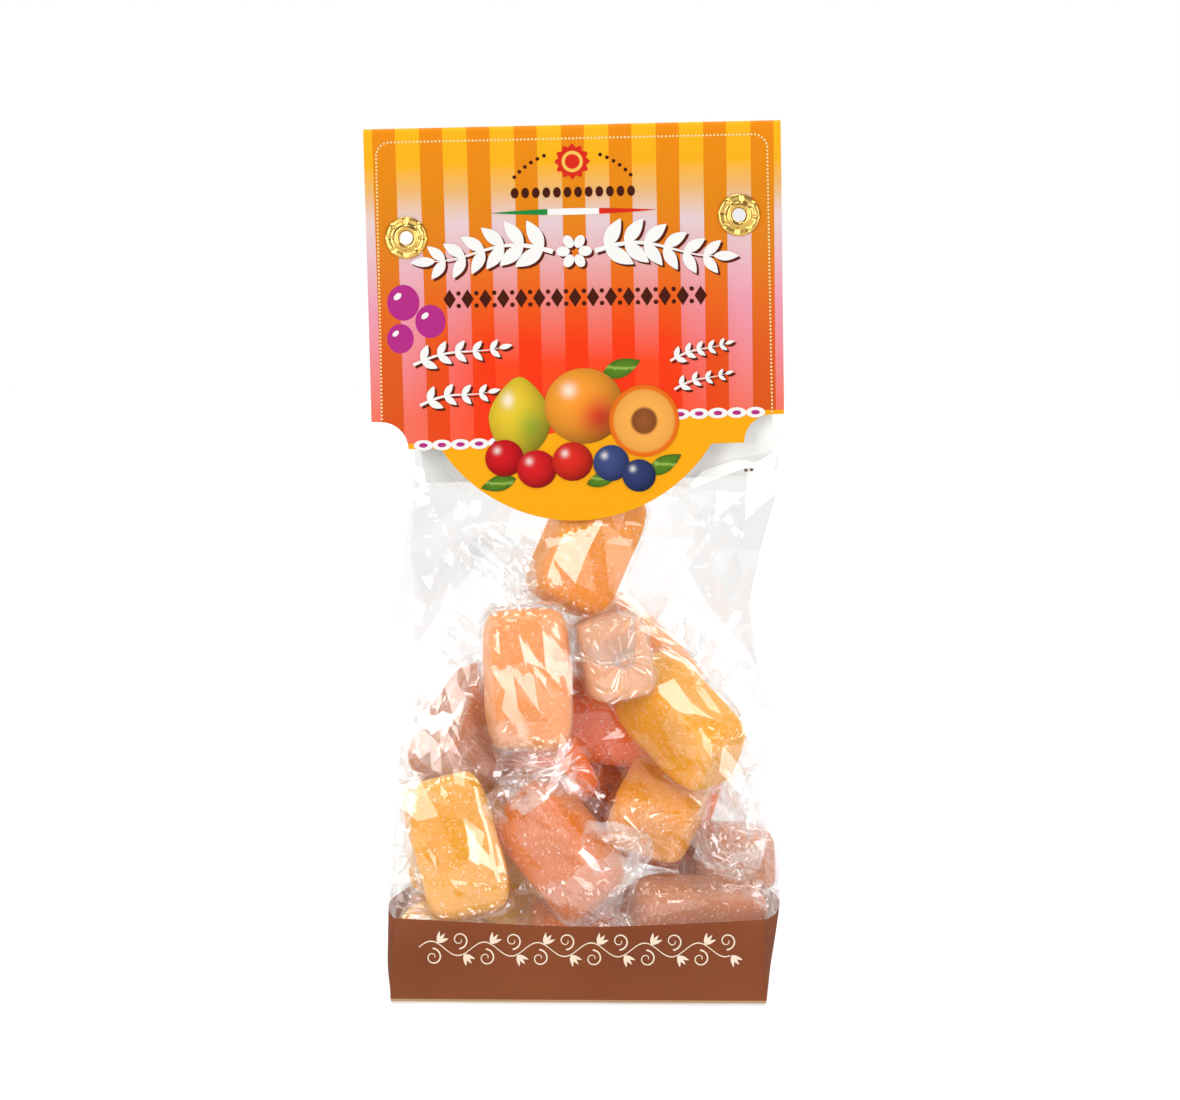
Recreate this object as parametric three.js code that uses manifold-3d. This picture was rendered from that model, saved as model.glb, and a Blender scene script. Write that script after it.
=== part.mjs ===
// A standing gift bag of wrapped jelly sweets, in millimetres with +Z up.
// A block-bottom bag of clear film is pressed flat at the top, inside a folded card header.
// Two brass eyelets go through the card. The front faces -Y, and the origin is the middle
// of the flat base.

import * as THREE from 'three';
import { mergeVertices } from 'three/addons/utils/BufferGeometryUtils.js';
import Module from 'manifold-3d';

const manifoldLibrary = await Module();
manifoldLibrary.setup();

// The bag's blank: a flat front and back, and a side gusset that folds in along its middle.
const BAG_WIDTH = 80;
const BAG_DEPTH = 50;
const BAG_TOP = 178;            // upper edge of the film, hidden inside the header
const FILM_SLAB_HALF = 0.4;     // half the pressed stack of film in the header
const FILM_SPREAD_HALF = 0.25;  // and lower down, where the two panels spread

// The header card: a sheet folded over the top, die-cut at the front with a round tab.
const CARD_THICKNESS = 0.5;
const CARD_GAP_HALF = 0.7;      // half the space between the two panels at the eyelets
const CARD_TOP = 188.3;         // height of the fold at its middle
const CARD_MIDDLE_X = -2.35;    // the header sits a little left of the bag
const CARD_TILT = THREE.MathUtils.degToRad(1.2);
const CARD_HALF_TOP = 45.3;     // half the header's width at the fold
const CARD_HALF_LOW = 44.9;     // and at the lower corners, which are 63.6 mm down
const CARD_AXIS_U = -0.4;       // middle of the die-cut lower edge, along the card
const LIP_DROP = 63.6;
const NOTCH_RADIUS = 6.1;       // hollow quarter round at each lower corner
const LIP_HALF = 42.6;          // half width where the hollow corner begins
const SHOULDER_DROP = LIP_DROP + NOTCH_RADIUS;
const TAB_CENTRE_DROP = 50.8;
const TAB_RADIUS = 35;
const TAB_TIP_ANGLE = 88;       // degrees: the arc begins this near to the tab's lowest point
const BACK_DROP = 77.3;         // the plain back panel ends here
const BACK_LOW_LEFT = -33.7;    // its side edges lean, so its lower edge is set to the right
const BACK_LOW_RIGHT = 41.8;
const FLARE_DROP = 38;          // below this the full bag spreads the two panels
const FIRST_FLARE_DROP = 1;     // the film thins from this far below the start of the spread
const FLARE_FRONT = 3.6;        // at the tab's lower edge
const FLARE_BACK = 3.0;         // at the back panel's lower edge
const STEP = 0.05;              // height of the tiny step that stands for a level edge

// Brass eyelets through card and film.
const EYELET_PLACES = { eyelet_left: [-38.3, 163.8], eyelet_right: [34.0, 168.7] };
const EYELET_HOLE_RADIUS = 1.45;
const EYELET_BARREL_RADIUS = 2.0;
const EYELET_CLEARANCE = 0.3;
const EYELET_SEAT = 0.02;       // the flange and the roll stand this far off the card
const EYELET_FLANGE_RADIUS = 4.6;
const EYELET_ROLL_RADIUS = 3.7;
const EYELET_FLANGE_HEIGHT = 0.9;
const EYELET_ROLL_HEIGHT = 0.7;
const EYELET_SEGMENTS = 28;

// How finely the bag's outline is divided.
const FACE_STEPS = 12;
const SIDE_STEPS = 8;

// The filled bag from the floor up to the header. left and right are the corner creases,
// front and back the two faces at those creases, belly how far each face's middle stands out,
// sides how far each gusset's middle stands out. A minus there is a gusset that folds in.
const BAG_LEVELS = [
  { z: 0, left: -40, right: 40, front: -25, back: 25, belly: [0, 0], sides: [0, 0] },
  { z: 1.2, left: -40.2, right: 40.2, front: -25.2, back: 25.2, belly: [0.3, 0.3], sides: [0.9, 0.4] },
  { z: 6, left: -40.0, right: 40.1, front: -25.2, back: 25.2, belly: [1.0, 1.0], sides: [2.4, 1.2] },
  { z: 12, left: -39.6, right: 40.0, front: -25.3, back: 25.3, belly: [1.9, 1.9], sides: [2.8, 2.3] },
  { z: 18.5, left: -39.2, right: 39.9, front: -25.3, back: 25.3, belly: [2.6, 2.6], sides: [3.1, 3.3] },
  { z: 25, left: -38.9, right: 39.9, front: -25.3, back: 25.3, belly: [3.2, 3.2], sides: [3.3, 3.9] },
  { z: 32, left: -38.8, right: 39.9, front: -25.2, back: 25.2, belly: [3.6, 3.6], sides: [3.1, 4.0] },
  { z: 40, left: -38.7, right: 39.9, front: -25.1, back: 25.1, belly: [3.7, 3.7], sides: [2.8, 3.9] },
  { z: 48, left: -38.6, right: 39.8, front: -25.0, back: 25.0, belly: [3.6, 3.6], sides: [2.5, 3.6] },
  { z: 54, left: -38.5, right: 39.7, front: -24.8, back: 24.8, belly: [3.5, 3.5], sides: [2.4, 3.1] },
  { z: 60, left: -38.5, right: 39.6, front: -24.4, back: 24.4, belly: [3.4, 3.4], sides: [2.2, 2.5] },
  { z: 65, left: -38.5, right: 39.2, front: -23.7, back: 23.8, belly: [3.3, 3.3], sides: [1.9, 1.9] },
  { z: 70, left: -38.5, right: 38.6, front: -22.6, back: 22.8, belly: [3.2, 3.2], sides: [1.2, 0.4] },
  { z: 76, left: -38.6, right: 37.4, front: -20.6, back: 21.4, belly: [3.0, 3.2], sides: [-2.0, -3.5] },
  { z: 82, left: -38.6, right: 36.6, front: -17.6, back: 19.5, belly: [3.2, 3.2], sides: [-7.5, -8.5] },
  { z: 88, left: -38.2, right: 36.9, front: -13.8, back: 17.0, belly: [3.8, 3.6], sides: [-12.5, -12.5] },
  { z: 94, left: -37.7, right: 38.1, front: -9.8, back: 13.8, belly: [3.6, 4.2], sides: [-16.8, -17] },
  { z: 99, left: -37.3, right: 39.1, front: -6.6, back: 10.8, belly: [2.0, 4.4], sides: [-20.8, -21] },
];

// Where the card lies over the film, its faces follow the card's inner side.
const HEADER_LEVELS = [
  { z: 102.4, left: -37.1, right: 39.8, back: 8.8, bellyBack: 3.6, sides: -22 },
  { z: 106, left: -36.9, right: 40.6, back: 6.0, bellyBack: 2.0, sides: -23 },
  { z: 111, left: -36.8, right: 42.3, back: 3.2, bellyBack: 0, sides: -24 },
  { z: 117.5, left: -36.8, right: 42.8, bellyBack: 0, sides: 0 },
  { z: 125, left: -36.8, right: 43.1, bellyBack: 0, sides: 0 },
  { z: 133, left: -36.8, right: 43.2, bellyBack: 0, sides: 0 },
  { z: 141, left: -36.8, right: 43.2, bellyBack: 0, sides: 0 },
  { z: 149, left: -36.8, right: 43.2, bellyBack: 0, sides: 0 },
  { z: BAG_TOP, left: -36.8, right: BAG_WIDTH - 36.8, bellyBack: 0, sides: 0 },
];

function material(colour, roughness, metalness) {
  return new THREE.MeshStandardMaterial({ color: new THREE.Color(colour), roughness, metalness });
}

// Joins rings of equal length into one closed skin. Each ring runs counterclockwise as seen
// from the end that the rings move towards, and each end is closed round a middle point.
function loft(rings) {
  const size = rings[0].length;
  const vertices = rings.flat();
  const indices = [];
  for (let row = 0; row < rings.length - 1; row += 1) {
    for (let i = 0; i < size; i += 1) {
      const a = row * size + i;
      const b = row * size + ((i + 1) % size);
      indices.push(a, b, b + size, a, b + size, a + size);
    }
  }
  const closeEnd = (start, forward) => {
    const middle = new THREE.Vector3();
    for (let i = 0; i < size; i += 1) middle.addScaledVector(vertices[start + i], 1 / size);
    const centre = vertices.push(middle) - 1;
    for (let i = 0; i < size; i += 1) {
      const a = start + i;
      const b = start + ((i + 1) % size);
      indices.push(centre, forward ? a : b, forward ? b : a);
    }
  };
  closeEnd(0, false);
  closeEnd((rings.length - 1) * size, true);
  const geometry = new THREE.BufferGeometry();
  const positions = vertices.flatMap((v) => [v.x, v.y, v.z]);
  geometry.setAttribute('position', new THREE.Float32BufferAttribute(positions, 3));
  geometry.setIndex(indices);
  return geometry;
}

// Hands a closed geometry to the boolean library, and takes its result back.
function toSolid(geometry) {
  const bare = geometry.clone();
  bare.deleteAttribute('normal');
  bare.deleteAttribute('uv');
  const merged = mergeVertices(bare, 1e-4);
  const mesh = new manifoldLibrary.Mesh({
    numProp: 3,
    vertProperties: Float32Array.from(merged.attributes.position.array),
    triVerts: Uint32Array.from(merged.index.array),
  });
  return new manifoldLibrary.Manifold(mesh);
}

function toGeometry(solid) {
  const mesh = solid.getMesh();
  const geometry = new THREE.BufferGeometry();
  geometry.setAttribute('position', new THREE.Float32BufferAttribute(mesh.vertProperties, 3));
  geometry.setIndex(Array.from(mesh.triVerts));
  geometry.computeVertexNormals();
  return geometry;
}

// Cuts a round hole along Y for each eyelet's barrel.
function withEyeletHoles(geometry) {
  let solid = toSolid(geometry);
  const radius = EYELET_BARREL_RADIUS + EYELET_CLEARANCE;
  for (const [x, z] of Object.values(EYELET_PLACES)) {
    const drill = new THREE.CylinderGeometry(radius, radius, BAG_DEPTH, EYELET_SEGMENTS);
    drill.translate(x, 0, z);
    solid = solid.subtract(toSolid(drill));
  }
  return toGeometry(solid);
}

// How far a panel has spread from the bag's middle plane, drop millimetres below the fold.
function flare(drop, full, fullDrop) {
  const share = Math.max(0, (drop - FLARE_DROP) / (fullDrop - FLARE_DROP));
  return full * share * share;
}

function frontFlare(drop) {
  return flare(drop, FLARE_FRONT, TAB_CENTRE_DROP + TAB_RADIUS);
}

function backFlare(drop) {
  return flare(drop, FLARE_BACK, BACK_DROP);
}

// One level outline of the bag: front face, right gusset, back face, left gusset.
function bagRing({ z, left, right, front, back, belly, sides }) {
  const ring = [];
  const face = (from, to, y, bulge) => {
    for (let i = 0; i < FACE_STEPS; i += 1) {
      const across = (2 * i) / FACE_STEPS - 1;
      const x = THREE.MathUtils.lerp(from, to, i / FACE_STEPS);
      ring.push(new THREE.Vector3(x, y + bulge * (1 - Math.abs(across) ** 2.5), z));
    }
  };
  const gusset = (from, to, x, outwards, reach) => {
    const folded = THREE.MathUtils.clamp(-reach / 6, 0, 1);
    for (let i = 0; i < SIDE_STEPS; i += 1) {
      const across = (2 * i) / SIDE_STEPS - 1;
      const round = 1 - across * across;
      const crease = 1 - Math.abs(across);
      const share = THREE.MathUtils.lerp(round, crease, folded);
      const y = THREE.MathUtils.lerp(from, to, i / SIDE_STEPS);
      ring.push(new THREE.Vector3(x + outwards * reach * share, y, z));
    }
  };
  face(left, right, front, -belly[0]);
  gusset(front, back, right, 1, sides[1]);
  face(right, left, back, belly[1]);
  gusset(back, front, left, -1, sides[0]);
  return ring;
}

// A level outline inside the header, where the film lies against the card.
function headerRing({ z, left, right, back, bellyBack, sides }) {
  const drop = CARD_TOP - z;
  const inner = drop > FLARE_DROP + FIRST_FLARE_DROP ? FILM_SPREAD_HALF : FILM_SLAB_HALF;
  return bagRing({
    z,
    left,
    right,
    front: -(inner + frontFlare(drop)),
    back: back ?? inner + backFlare(drop),
    belly: [0, bellyBack],
    sides: [sides, sides],
  });
}

function buildBag() {
  const rings = [...BAG_LEVELS.map(bagRing), ...HEADER_LEVELS.map(headerRing)];
  return withEyeletHoles(loft(rings));
}

// Half the front panel's width, drop millimetres below the fold, down to the lip.
function cardHalf(drop) {
  return THREE.MathUtils.lerp(CARD_HALF_TOP, CARD_HALF_LOW, drop / LIP_DROP);
}

// The front panel's outline from the tab's lowest point up to the fold, as rows of
// drop and half width. The lower part is set out from the die-cut's own middle.
function frontRows() {
  const rows = [];
  const shoulderAngle = Math.asin((SHOULDER_DROP - TAB_CENTRE_DROP) / TAB_RADIUS);
  const tabSteps = 18;
  const firstAngle = THREE.MathUtils.degToRad(TAB_TIP_ANGLE);
  for (let i = 0; i <= tabSteps; i += 1) {
    const angle = THREE.MathUtils.lerp(firstAngle, shoulderAngle, i / tabSteps);
    const drop = TAB_CENTRE_DROP + TAB_RADIUS * Math.sin(angle);
    rows.push({ drop, half: TAB_RADIUS * Math.cos(angle), middle: CARD_AXIS_U });
  }
  const notchSteps = 7;
  for (let i = 0; i <= notchSteps; i += 1) {
    const angle = (Math.PI / 2) * (i / notchSteps);
    const drop = SHOULDER_DROP - STEP - (NOTCH_RADIUS - 2 * STEP) * Math.sin(angle);
    rows.push({ drop, half: LIP_HALF - NOTCH_RADIUS * Math.cos(angle), middle: CARD_AXIS_U });
  }
  for (const drop of [LIP_DROP, 57, 50, 44, FLARE_DROP]) {
    rows.push({ drop, half: cardHalf(drop), middle: 0 });
  }
  return rows;
}

// The card as a strip with a rectangular section, up the front, over the fold, down the back.
function buildHeaderCard() {
  const rings = [];
  const sheetHalf = CARD_THICKNESS / 2;
  const foldRadius = CARD_GAP_HALF + sheetHalf;
  const foldDrop = foldRadius + sheetHalf;
  const place = (u, y, drop) => new THREE.Vector3(
    CARD_MIDDLE_X + u * Math.cos(CARD_TILT) + drop * Math.sin(CARD_TILT),
    y,
    CARD_TOP + u * Math.sin(CARD_TILT) - drop * Math.cos(CARD_TILT),
  );
  // outY and outDrop point from the sheet's middle to its outer side.
  const section = (left, right, y, drop, outY, outDrop) => {
    const outer = [y + outY * sheetHalf, drop + outDrop * sheetHalf];
    const inner = [y - outY * sheetHalf, drop - outDrop * sheetHalf];
    rings.push([
      place(left, ...outer),
      place(right, ...outer),
      place(right, ...inner),
      place(left, ...inner),
    ]);
  };
  for (const { drop, half, middle } of frontRows()) {
    section(middle - half, middle + half, -(foldRadius + frontFlare(drop)), drop, -1, 0);
  }
  const foldSteps = 8;
  for (let i = 0; i <= foldSteps; i += 1) {
    const angle = (Math.PI * i) / foldSteps;
    const y = -foldRadius * Math.cos(angle);
    const drop = foldDrop - foldRadius * Math.sin(angle);
    section(-CARD_HALF_TOP, CARD_HALF_TOP, y, drop, -Math.cos(angle), -Math.sin(angle));
  }
  for (const drop of [FLARE_DROP, 45, 52, 59, 65, 71, BACK_DROP]) {
    const share = drop / BACK_DROP;
    const left = THREE.MathUtils.lerp(-CARD_HALF_TOP, BACK_LOW_LEFT, share);
    const right = THREE.MathUtils.lerp(CARD_HALF_TOP, BACK_LOW_RIGHT, share);
    section(left, right, foldRadius + backFlare(drop), drop, 1, 0);
  }
  return withEyeletHoles(loft(rings));
}

// An eyelet turned round Y: a domed flange in front, a barrel, and the rolled end behind.
function buildEyelet() {
  const face = CARD_GAP_HALF + CARD_THICKNESS + EYELET_SEAT;
  const front = -face - EYELET_FLANGE_HEIGHT;
  const back = face + EYELET_ROLL_HEIGHT;
  const lip = EYELET_HOLE_RADIUS + 0.45;
  const outline = [
    [EYELET_HOLE_RADIUS, front + 0.5],
    [EYELET_HOLE_RADIUS + 0.12, front + 0.15],
    [lip, front],
    [lip + 0.5, front + 0.08],
    [lip + 0.9, front + 0.35],
    [EYELET_FLANGE_RADIUS - 0.9, front + 0.4],
    [EYELET_FLANGE_RADIUS - 0.2, front + 0.68],
    [EYELET_FLANGE_RADIUS, -face],
    [EYELET_BARREL_RADIUS, -face],
    [EYELET_BARREL_RADIUS, face],
    [EYELET_ROLL_RADIUS, face],
    [EYELET_ROLL_RADIUS - 0.25, back - 0.1],
    [EYELET_ROLL_RADIUS - 0.8, back],
    [EYELET_HOLE_RADIUS + 0.3, back - 0.25],
    [EYELET_HOLE_RADIUS, face],
    [EYELET_HOLE_RADIUS, front + 0.5],
  ];
  const points = outline.map(([radius, y]) => new THREE.Vector2(radius, y));
  return new THREE.LatheGeometry(points, EYELET_SEGMENTS);
}

function part(name, geometry, look) {
  const mesh = new THREE.Mesh(geometry, look);
  mesh.name = name;
  return mesh;
}

const pack = new THREE.Group();
pack.add(part('bag', buildBag(), material('#f3ddc4', 0.15, 0)));
pack.add(part('header_card', buildHeaderCard(), material('#e8912c', 0.55, 0)));
for (const [name, [x, z]] of Object.entries(EYELET_PLACES)) {
  const eyelet = part(name, buildEyelet(), material('#d9ad4c', 0.3, 1));
  eyelet.position.set(x, 0, z);
  pack.add(eyelet);
}

export default pack;
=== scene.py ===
"""Looks for a clear gift bag of wrapped jelly sweets, built round the fixed frame.

The bag node is replaced by clear film, a printed band and the wrapped jellies. The header
card keeps its CAD shape and gets its print, and the eyelets get their crimped flanges.
Lengths are in millimetres, in the frame's axes, until make_mesh() writes them in metres.
"""
import math

import bpy
import numpy as np
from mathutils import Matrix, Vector
from mathutils.bvhtree import BVHTree


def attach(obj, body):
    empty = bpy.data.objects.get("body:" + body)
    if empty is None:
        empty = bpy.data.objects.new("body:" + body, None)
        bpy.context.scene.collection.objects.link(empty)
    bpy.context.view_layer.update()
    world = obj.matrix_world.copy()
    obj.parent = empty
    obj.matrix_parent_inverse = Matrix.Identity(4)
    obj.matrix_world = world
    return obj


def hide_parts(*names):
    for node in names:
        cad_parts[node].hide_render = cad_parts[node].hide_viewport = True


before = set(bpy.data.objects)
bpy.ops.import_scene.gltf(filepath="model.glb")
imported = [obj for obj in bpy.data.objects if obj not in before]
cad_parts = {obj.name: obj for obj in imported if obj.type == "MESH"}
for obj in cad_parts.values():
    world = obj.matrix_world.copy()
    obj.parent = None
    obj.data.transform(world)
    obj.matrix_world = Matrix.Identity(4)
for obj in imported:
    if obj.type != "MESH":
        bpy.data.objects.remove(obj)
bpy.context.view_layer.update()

MM = 0.001
BODY = "root"

# ---------------------------------------------------------------- driving dimensions

# The filled bag, as in the frame: z, left and right corner creases, front and back faces at
# the creases, how far the front, back, left and right middles stand out (minus is folded in).
BAG_LEVELS = np.array((
    (0.0, -40.0, 40.0, -25.0, 25.0, 0.0, 0.0, 0.0, 0.0),
    (1.2, -40.2, 40.2, -25.2, 25.2, 0.3, 0.3, 0.9, 0.4),
    (6.0, -40.0, 40.1, -25.2, 25.2, 1.0, 1.0, 2.4, 1.2),
    (12.0, -39.6, 40.0, -25.3, 25.3, 1.9, 1.9, 2.8, 2.3),
    (18.5, -39.2, 39.9, -25.3, 25.3, 2.6, 2.6, 3.1, 3.3),
    (25.0, -38.9, 39.9, -25.3, 25.3, 3.2, 3.2, 3.3, 3.9),
    (32.0, -38.8, 39.9, -25.2, 25.2, 3.6, 3.6, 3.1, 4.0),
    (40.0, -38.7, 39.9, -25.1, 25.1, 3.7, 3.7, 2.8, 3.9),
    (48.0, -38.6, 39.8, -25.0, 25.0, 3.6, 3.6, 2.5, 3.6),
    (54.0, -38.5, 39.7, -24.8, 24.8, 3.5, 3.5, 2.4, 3.1),
    (60.0, -38.5, 39.6, -24.4, 24.4, 3.4, 3.4, 2.2, 2.5),
    (65.0, -38.5, 39.2, -23.7, 23.8, 3.3, 3.3, 1.9, 1.9),
    (70.0, -38.5, 38.6, -22.6, 22.8, 3.2, 3.2, 1.2, 0.4),
    (76.0, -38.6, 37.4, -20.6, 21.4, 3.0, 3.2, -2.0, -3.5),
    (82.0, -38.6, 36.6, -17.6, 19.5, 3.2, 3.2, -7.5, -8.5),
    (88.0, -38.2, 36.9, -13.8, 17.2, 3.8, 4.2, -12.5, -12.5),
    (94.0, -37.7, 38.1, -9.8, 15.0, 3.6, 5.0, -16.8, -17.0),
    (99.0, -37.3, 39.1, -6.6, 12.6, 2.0, 5.5, -20.8, -21.0),
    (102.4, -37.1, 39.8, -4.0, 10.6, 0.0, 5.0, -22.0, -22.0),
    (106.0, -36.9, 40.6, -3.3, 7.6, 0.0, 4.0, -23.0, -23.0),
    (111.0, -36.8, 42.3, -2.5, 3.2, 0.0, 0.0, -24.0, -24.0),
    (117.5, -36.8, 42.8, -1.7, 1.8, 0.0, 0.0, 0.0, 0.0),
    (125.0, -36.8, 43.1, -1.1, 1.1, 0.0, 0.0, 0.0, 0.0),
    (133.0, -36.8, 43.2, -0.6, 0.6, 0.0, 0.0, 0.0, 0.0),
    (149.0, -36.8, 43.2, -0.3, 0.3, 0.0, 0.0, 0.0, 0.0),
    (178.0, -36.8, 43.2, -0.3, 0.3, 0.0, 0.0, 0.0, 0.0),
))
BAND_TOP = 18.5
BAND_DIP = 1.1                  # the band's edge runs lower in the middle of the front
BAND_FOOT = 0.5                 # bare film under the band

# The header card, as in the frame.
CARD_THICKNESS = 0.5
CARD_GAP_HALF = 0.7
CARD_TOP = 188.3
CARD_MIDDLE_X = -2.35
CARD_TILT = math.radians(1.2)
CARD_HALF_TOP = 45.3
FLARE_DROP = 38.0
FLARE_FRONT = 3.6
FLARE_FULL_DROP = 85.8
FLARE_BACK = 3.0
BACK_DROP = 77.3                # the back panel ends here
DIE_MIDDLE_U = -0.4             # middle of the die-cut lower edge
LIP_HALF = 42.6                 # half width where the hollow corners begin
NOTCH_RADIUS = 6.1
SHOULDER_DROP = 69.7            # the hollow corners end here
EYELET_PLACES = {"eyelet_left": (-38.3, 163.8), "eyelet_right": (34.0, 168.7)}

# A jelly is a rounded oblong block: its length, width and height, and how much each varies.
JELLY_SIZE = np.array((30.5, 18.8, 14.4))
JELLY_VARIES = np.array((1.0, 0.7, 0.6))

# Each sweet: flavour, middle x, y, z, then in degrees the slant of its long side in the front
# view, its lean towards the back, and its roll. held is how firmly the sweet keeps its place
# when the heap settles: the front ones stay where they are seen, and the hidden ones give way.
SWEETS = (
    ("top", "light", 0.7, 3.4, 96.6, 67, 16, 24, 0.97),
    ("upright", "peach", -11.6, -14.0, 68.0, 93, 4, 14, 0.97),
    ("shoulder", "gold", 19.8, -11.5, 60.4, -43, -33, 42, 0.97),
    ("inner_high", "orange", 6.3, 11.0, 59.0, -6, 4, 0, 0.97),
    ("end_on", "pale_mauve", 7.4, 3.0, 71.6, 12, -80, 0, 0.985),
    ("behind_shoulder", "peach", 10.0, 16.5, 68.5, -45, 0, 10, 0.97),
    ("left_high", "mauve", -27.6, -6.0, 56.0, 58, 42, 30, 0.97),
    ("left_low", "gold", -29.6, -16.0, 33.2, 105, 3, 6, 0.97),
    ("front_low", "salmon", -3.8, -17.0, 33.0, -50, -16, 20, 0.97),
    ("right_mid", "amber", 16.6, -2.5, 40.6, -121, -70, 14, 0.97),
    ("right_low", "mauve", 26.4, -14.0, 16.4, -5, 25, 20, 0.97),
    ("right_side", "mauve", 33.0, 8.0, 26.4, 8, -80, 84, 0.97),
    ("bottom_left", "gold", -14.8, -8.0, 20.6, -20, 10, 0, 0.9),
    ("bottom_mid", "salmon", 4.0, -7.0, 15.2, 6, 8, 30, 0.9),
    ("inner_small", "orange", -6.2, 0.0, 47.4, 30, -72, 0, 0.95),
    # The deep sweet takes the orange jelly painted darker, as painted shade inside the heap.
    ("deep", "painted_shade_orange", 7.0, 9.0, 42.0, 75, 25, 20, 0.6),
    ("back_left_high", "peach", -17.0, 14.0, 54.0, 20, 5, 0, 0.6),
    ("back_left", "gold", -24.0, 12.0, 35.0, 75, -10, 0, 0.5),
    ("back_middle", "amber", -6.0, 17.0, 28.0, -30, 5, 0, 0.0),
    ("back_right", "orange", 15.0, 16.0, 40.0, 74, 0, 20, 0.6),
    ("back_right_low", "salmon", 25.0, 16.0, 17.0, 15, 10, 0, 0.3),
    ("floor_left", "gold", -29.0, -4.0, 9.0, 0, 80, 0, 0.0),
    ("floor_back", "peach", -14.0, 14.0, 9.0, 0, 5, 0, 0.0),
    ("floor_middle", "amber", 8.0, 9.0, 9.0, 0, 40, 0, 0.0),
)

# Where the wrappers' seen fans go from their necks: towards this point, from the sweet's
# first (-1) or second (1) end. The others stand at random. A fourth number makes a fan narrower.
FANS = {
    ("right_low", -1): (6.0, -20.0, 24.0),
    ("right_low", 1): (37.0, 4.0, 8.0),
    ("right_side", 1): (28.0, -21.0, 48.0),
    ("right_side", -1): (30.0, 22.0, 44.0),
    ("front_low", -1): (-20.0, -20.0, 46.0),
    ("front_low", 1): (8.0, -20.0, 4.0),
    ("upright", -1): (-8.0, -20.0, 44.0),
    ("upright", 1): (-20.0, 6.0, 92.0),
    ("left_high", -1): (-37.0, -18.0, 42.0),
    ("left_high", 1): (-30.0, -10.0, 80.0),
    ("end_on", 1): (0.0, -12.0, 84.0, 0.6),
    ("end_on", -1): (-2.0, 22.0, 84.0),
    ("shoulder", 1): (37.0, -20.0, 46.0),
    ("shoulder", -1): (8.0, -8.0, 84.0),
    ("left_low", -1): (-36.0, -10.0, 12.0),
    ("left_low", 1): (-30.0, -18.0, 58.0),
    ("inner_high", -1): (-12.0, 10.0, 62.0),
    ("inner_high", 1): (34.0, 10.0, 52.0),
    ("right_mid", 1): (1.0, -30.0, 30.0),
    ("right_mid", -1): (20.0, 22.0, 50.0),
    ("inner_small", 1): (-16.0, -12.0, 44.0),
    ("inner_small", -1): (-8.0, 22.0, 56.0),
    ("top", -1): (-8.0, -12.0, 76.0),
    ("top", 1): (12.0, 6.0, 112.0),
}

# Base colours of the jellies.
FLAVOURS = {
    "light": ("jelly_orange", (249, 154, 42)),
    "orange": ("jelly_orange", (250, 108, 0)),
    # The orange jelly painted darker, as painted shade for the sweet deep in the heap.
    "painted_shade_orange": ("jelly_orange", (206, 88, 0)),
    "peach": ("jelly_peach", (252, 164, 96)),
    "salmon": ("jelly_peach", (224, 114, 0)),
    "gold": ("jelly_gold", (245, 170, 34)),
    "amber": ("jelly_gold", (238, 150, 22)),
    "mauve": ("jelly_mauve", (198, 124, 84)),
    "pale_mauve": ("jelly_mauve", (242, 178, 134)),
}

# ---------------------------------------------------------------- repeatable noise

def scatter(seed, *cells):
    """A repeatable number from -1 to 1 for each cell of a lattice."""
    shape = np.broadcast(*cells).shape
    mixed = np.full(shape or 1, seed * 7919 + 17, np.uint64)
    for cell in cells:
        whole = np.atleast_1d(cell).astype(np.int64).astype(np.uint64)
        mixed = mixed ^ (whole * np.uint64(0x9E3779B97F4A7C15))
        mixed = (mixed ^ (mixed >> np.uint64(29))) * np.uint64(0xBF58476D1CE4E5B9)
        mixed = mixed ^ (mixed >> np.uint64(32))
    value = (mixed >> np.uint64(11)).astype(float) / 2.0 ** 52 - 1.0
    return value if shape else float(value[0])


def ripple(u, v, seed, wrap=0):
    """Smooth noise from -1 to 1. With wrap it repeats after that many cells of u."""
    i, j = np.floor(u), np.floor(v)
    fu, fv = smoothstep(u - i, 0, 1), smoothstep(v - j, 0, 1)

    def corner(di, dj):
        column = i + di
        return scatter(seed, column % wrap if wrap else column, j + dj)

    return lerp(lerp(corner(0, 0), corner(1, 0), fu), lerp(corner(0, 1), corner(1, 1), fu), fv)


def between_nodes(values, row_step, column_step):
    """A grid made flat between its nodes, triangle by triangle, as creased film is. The nodes
    stand every row_step rows and column_step columns, and the columns close on themselves."""
    rows, columns = values.shape[:2]
    i, j = np.arange(rows)[:, None], np.arange(columns)[None]
    i0, j0 = i // row_step * row_step, j // column_step * column_step
    i1, j1 = np.minimum(i0 + row_step, rows - 1), (j0 + column_step) % columns
    extra = (...,) + (None,) * (values.ndim - 2)
    fi = ((i - i0) / np.maximum(i1 - i0, 1) + 0 * j)[extra]
    fj = ((j - j0) / column_step + 0 * i)[extra]
    near, right, up, far = values[i0, j0], values[i0, j1], values[i1, j0], values[i1, j1]
    lower = near + (right - near) * fj + (up - near) * fi
    upper = far + (up - far) * (1 - fj) + (right - far) * (1 - fi)
    return np.where(fi + fj <= 1, lower, upper)


def creases(seed, rows, columns, row_step, column_step):
    """Random heights from -1 to 1 at the nodes of a grid, flat between them."""
    i, j = np.arange(rows)[:, None], np.arange(columns)[None]
    return between_nodes(scatter(seed, i // row_step, j // column_step), row_step, column_step)


def smoothstep(value, low, high):
    share = np.clip((value - low) / (high - low), 0, 1)
    return share * share * (3 - 2 * share)


def lerp(a, b, share):
    return a + (b - a) * share


def unit(vectors):
    """The vectors in an array's last axis, made 1 long."""
    return vectors / (np.linalg.norm(vectors, axis=-1, keepdims=True) + 1e-9)


def round_angles(count):
    return np.linspace(0, 2 * math.pi, count, endpoint=False)


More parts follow.
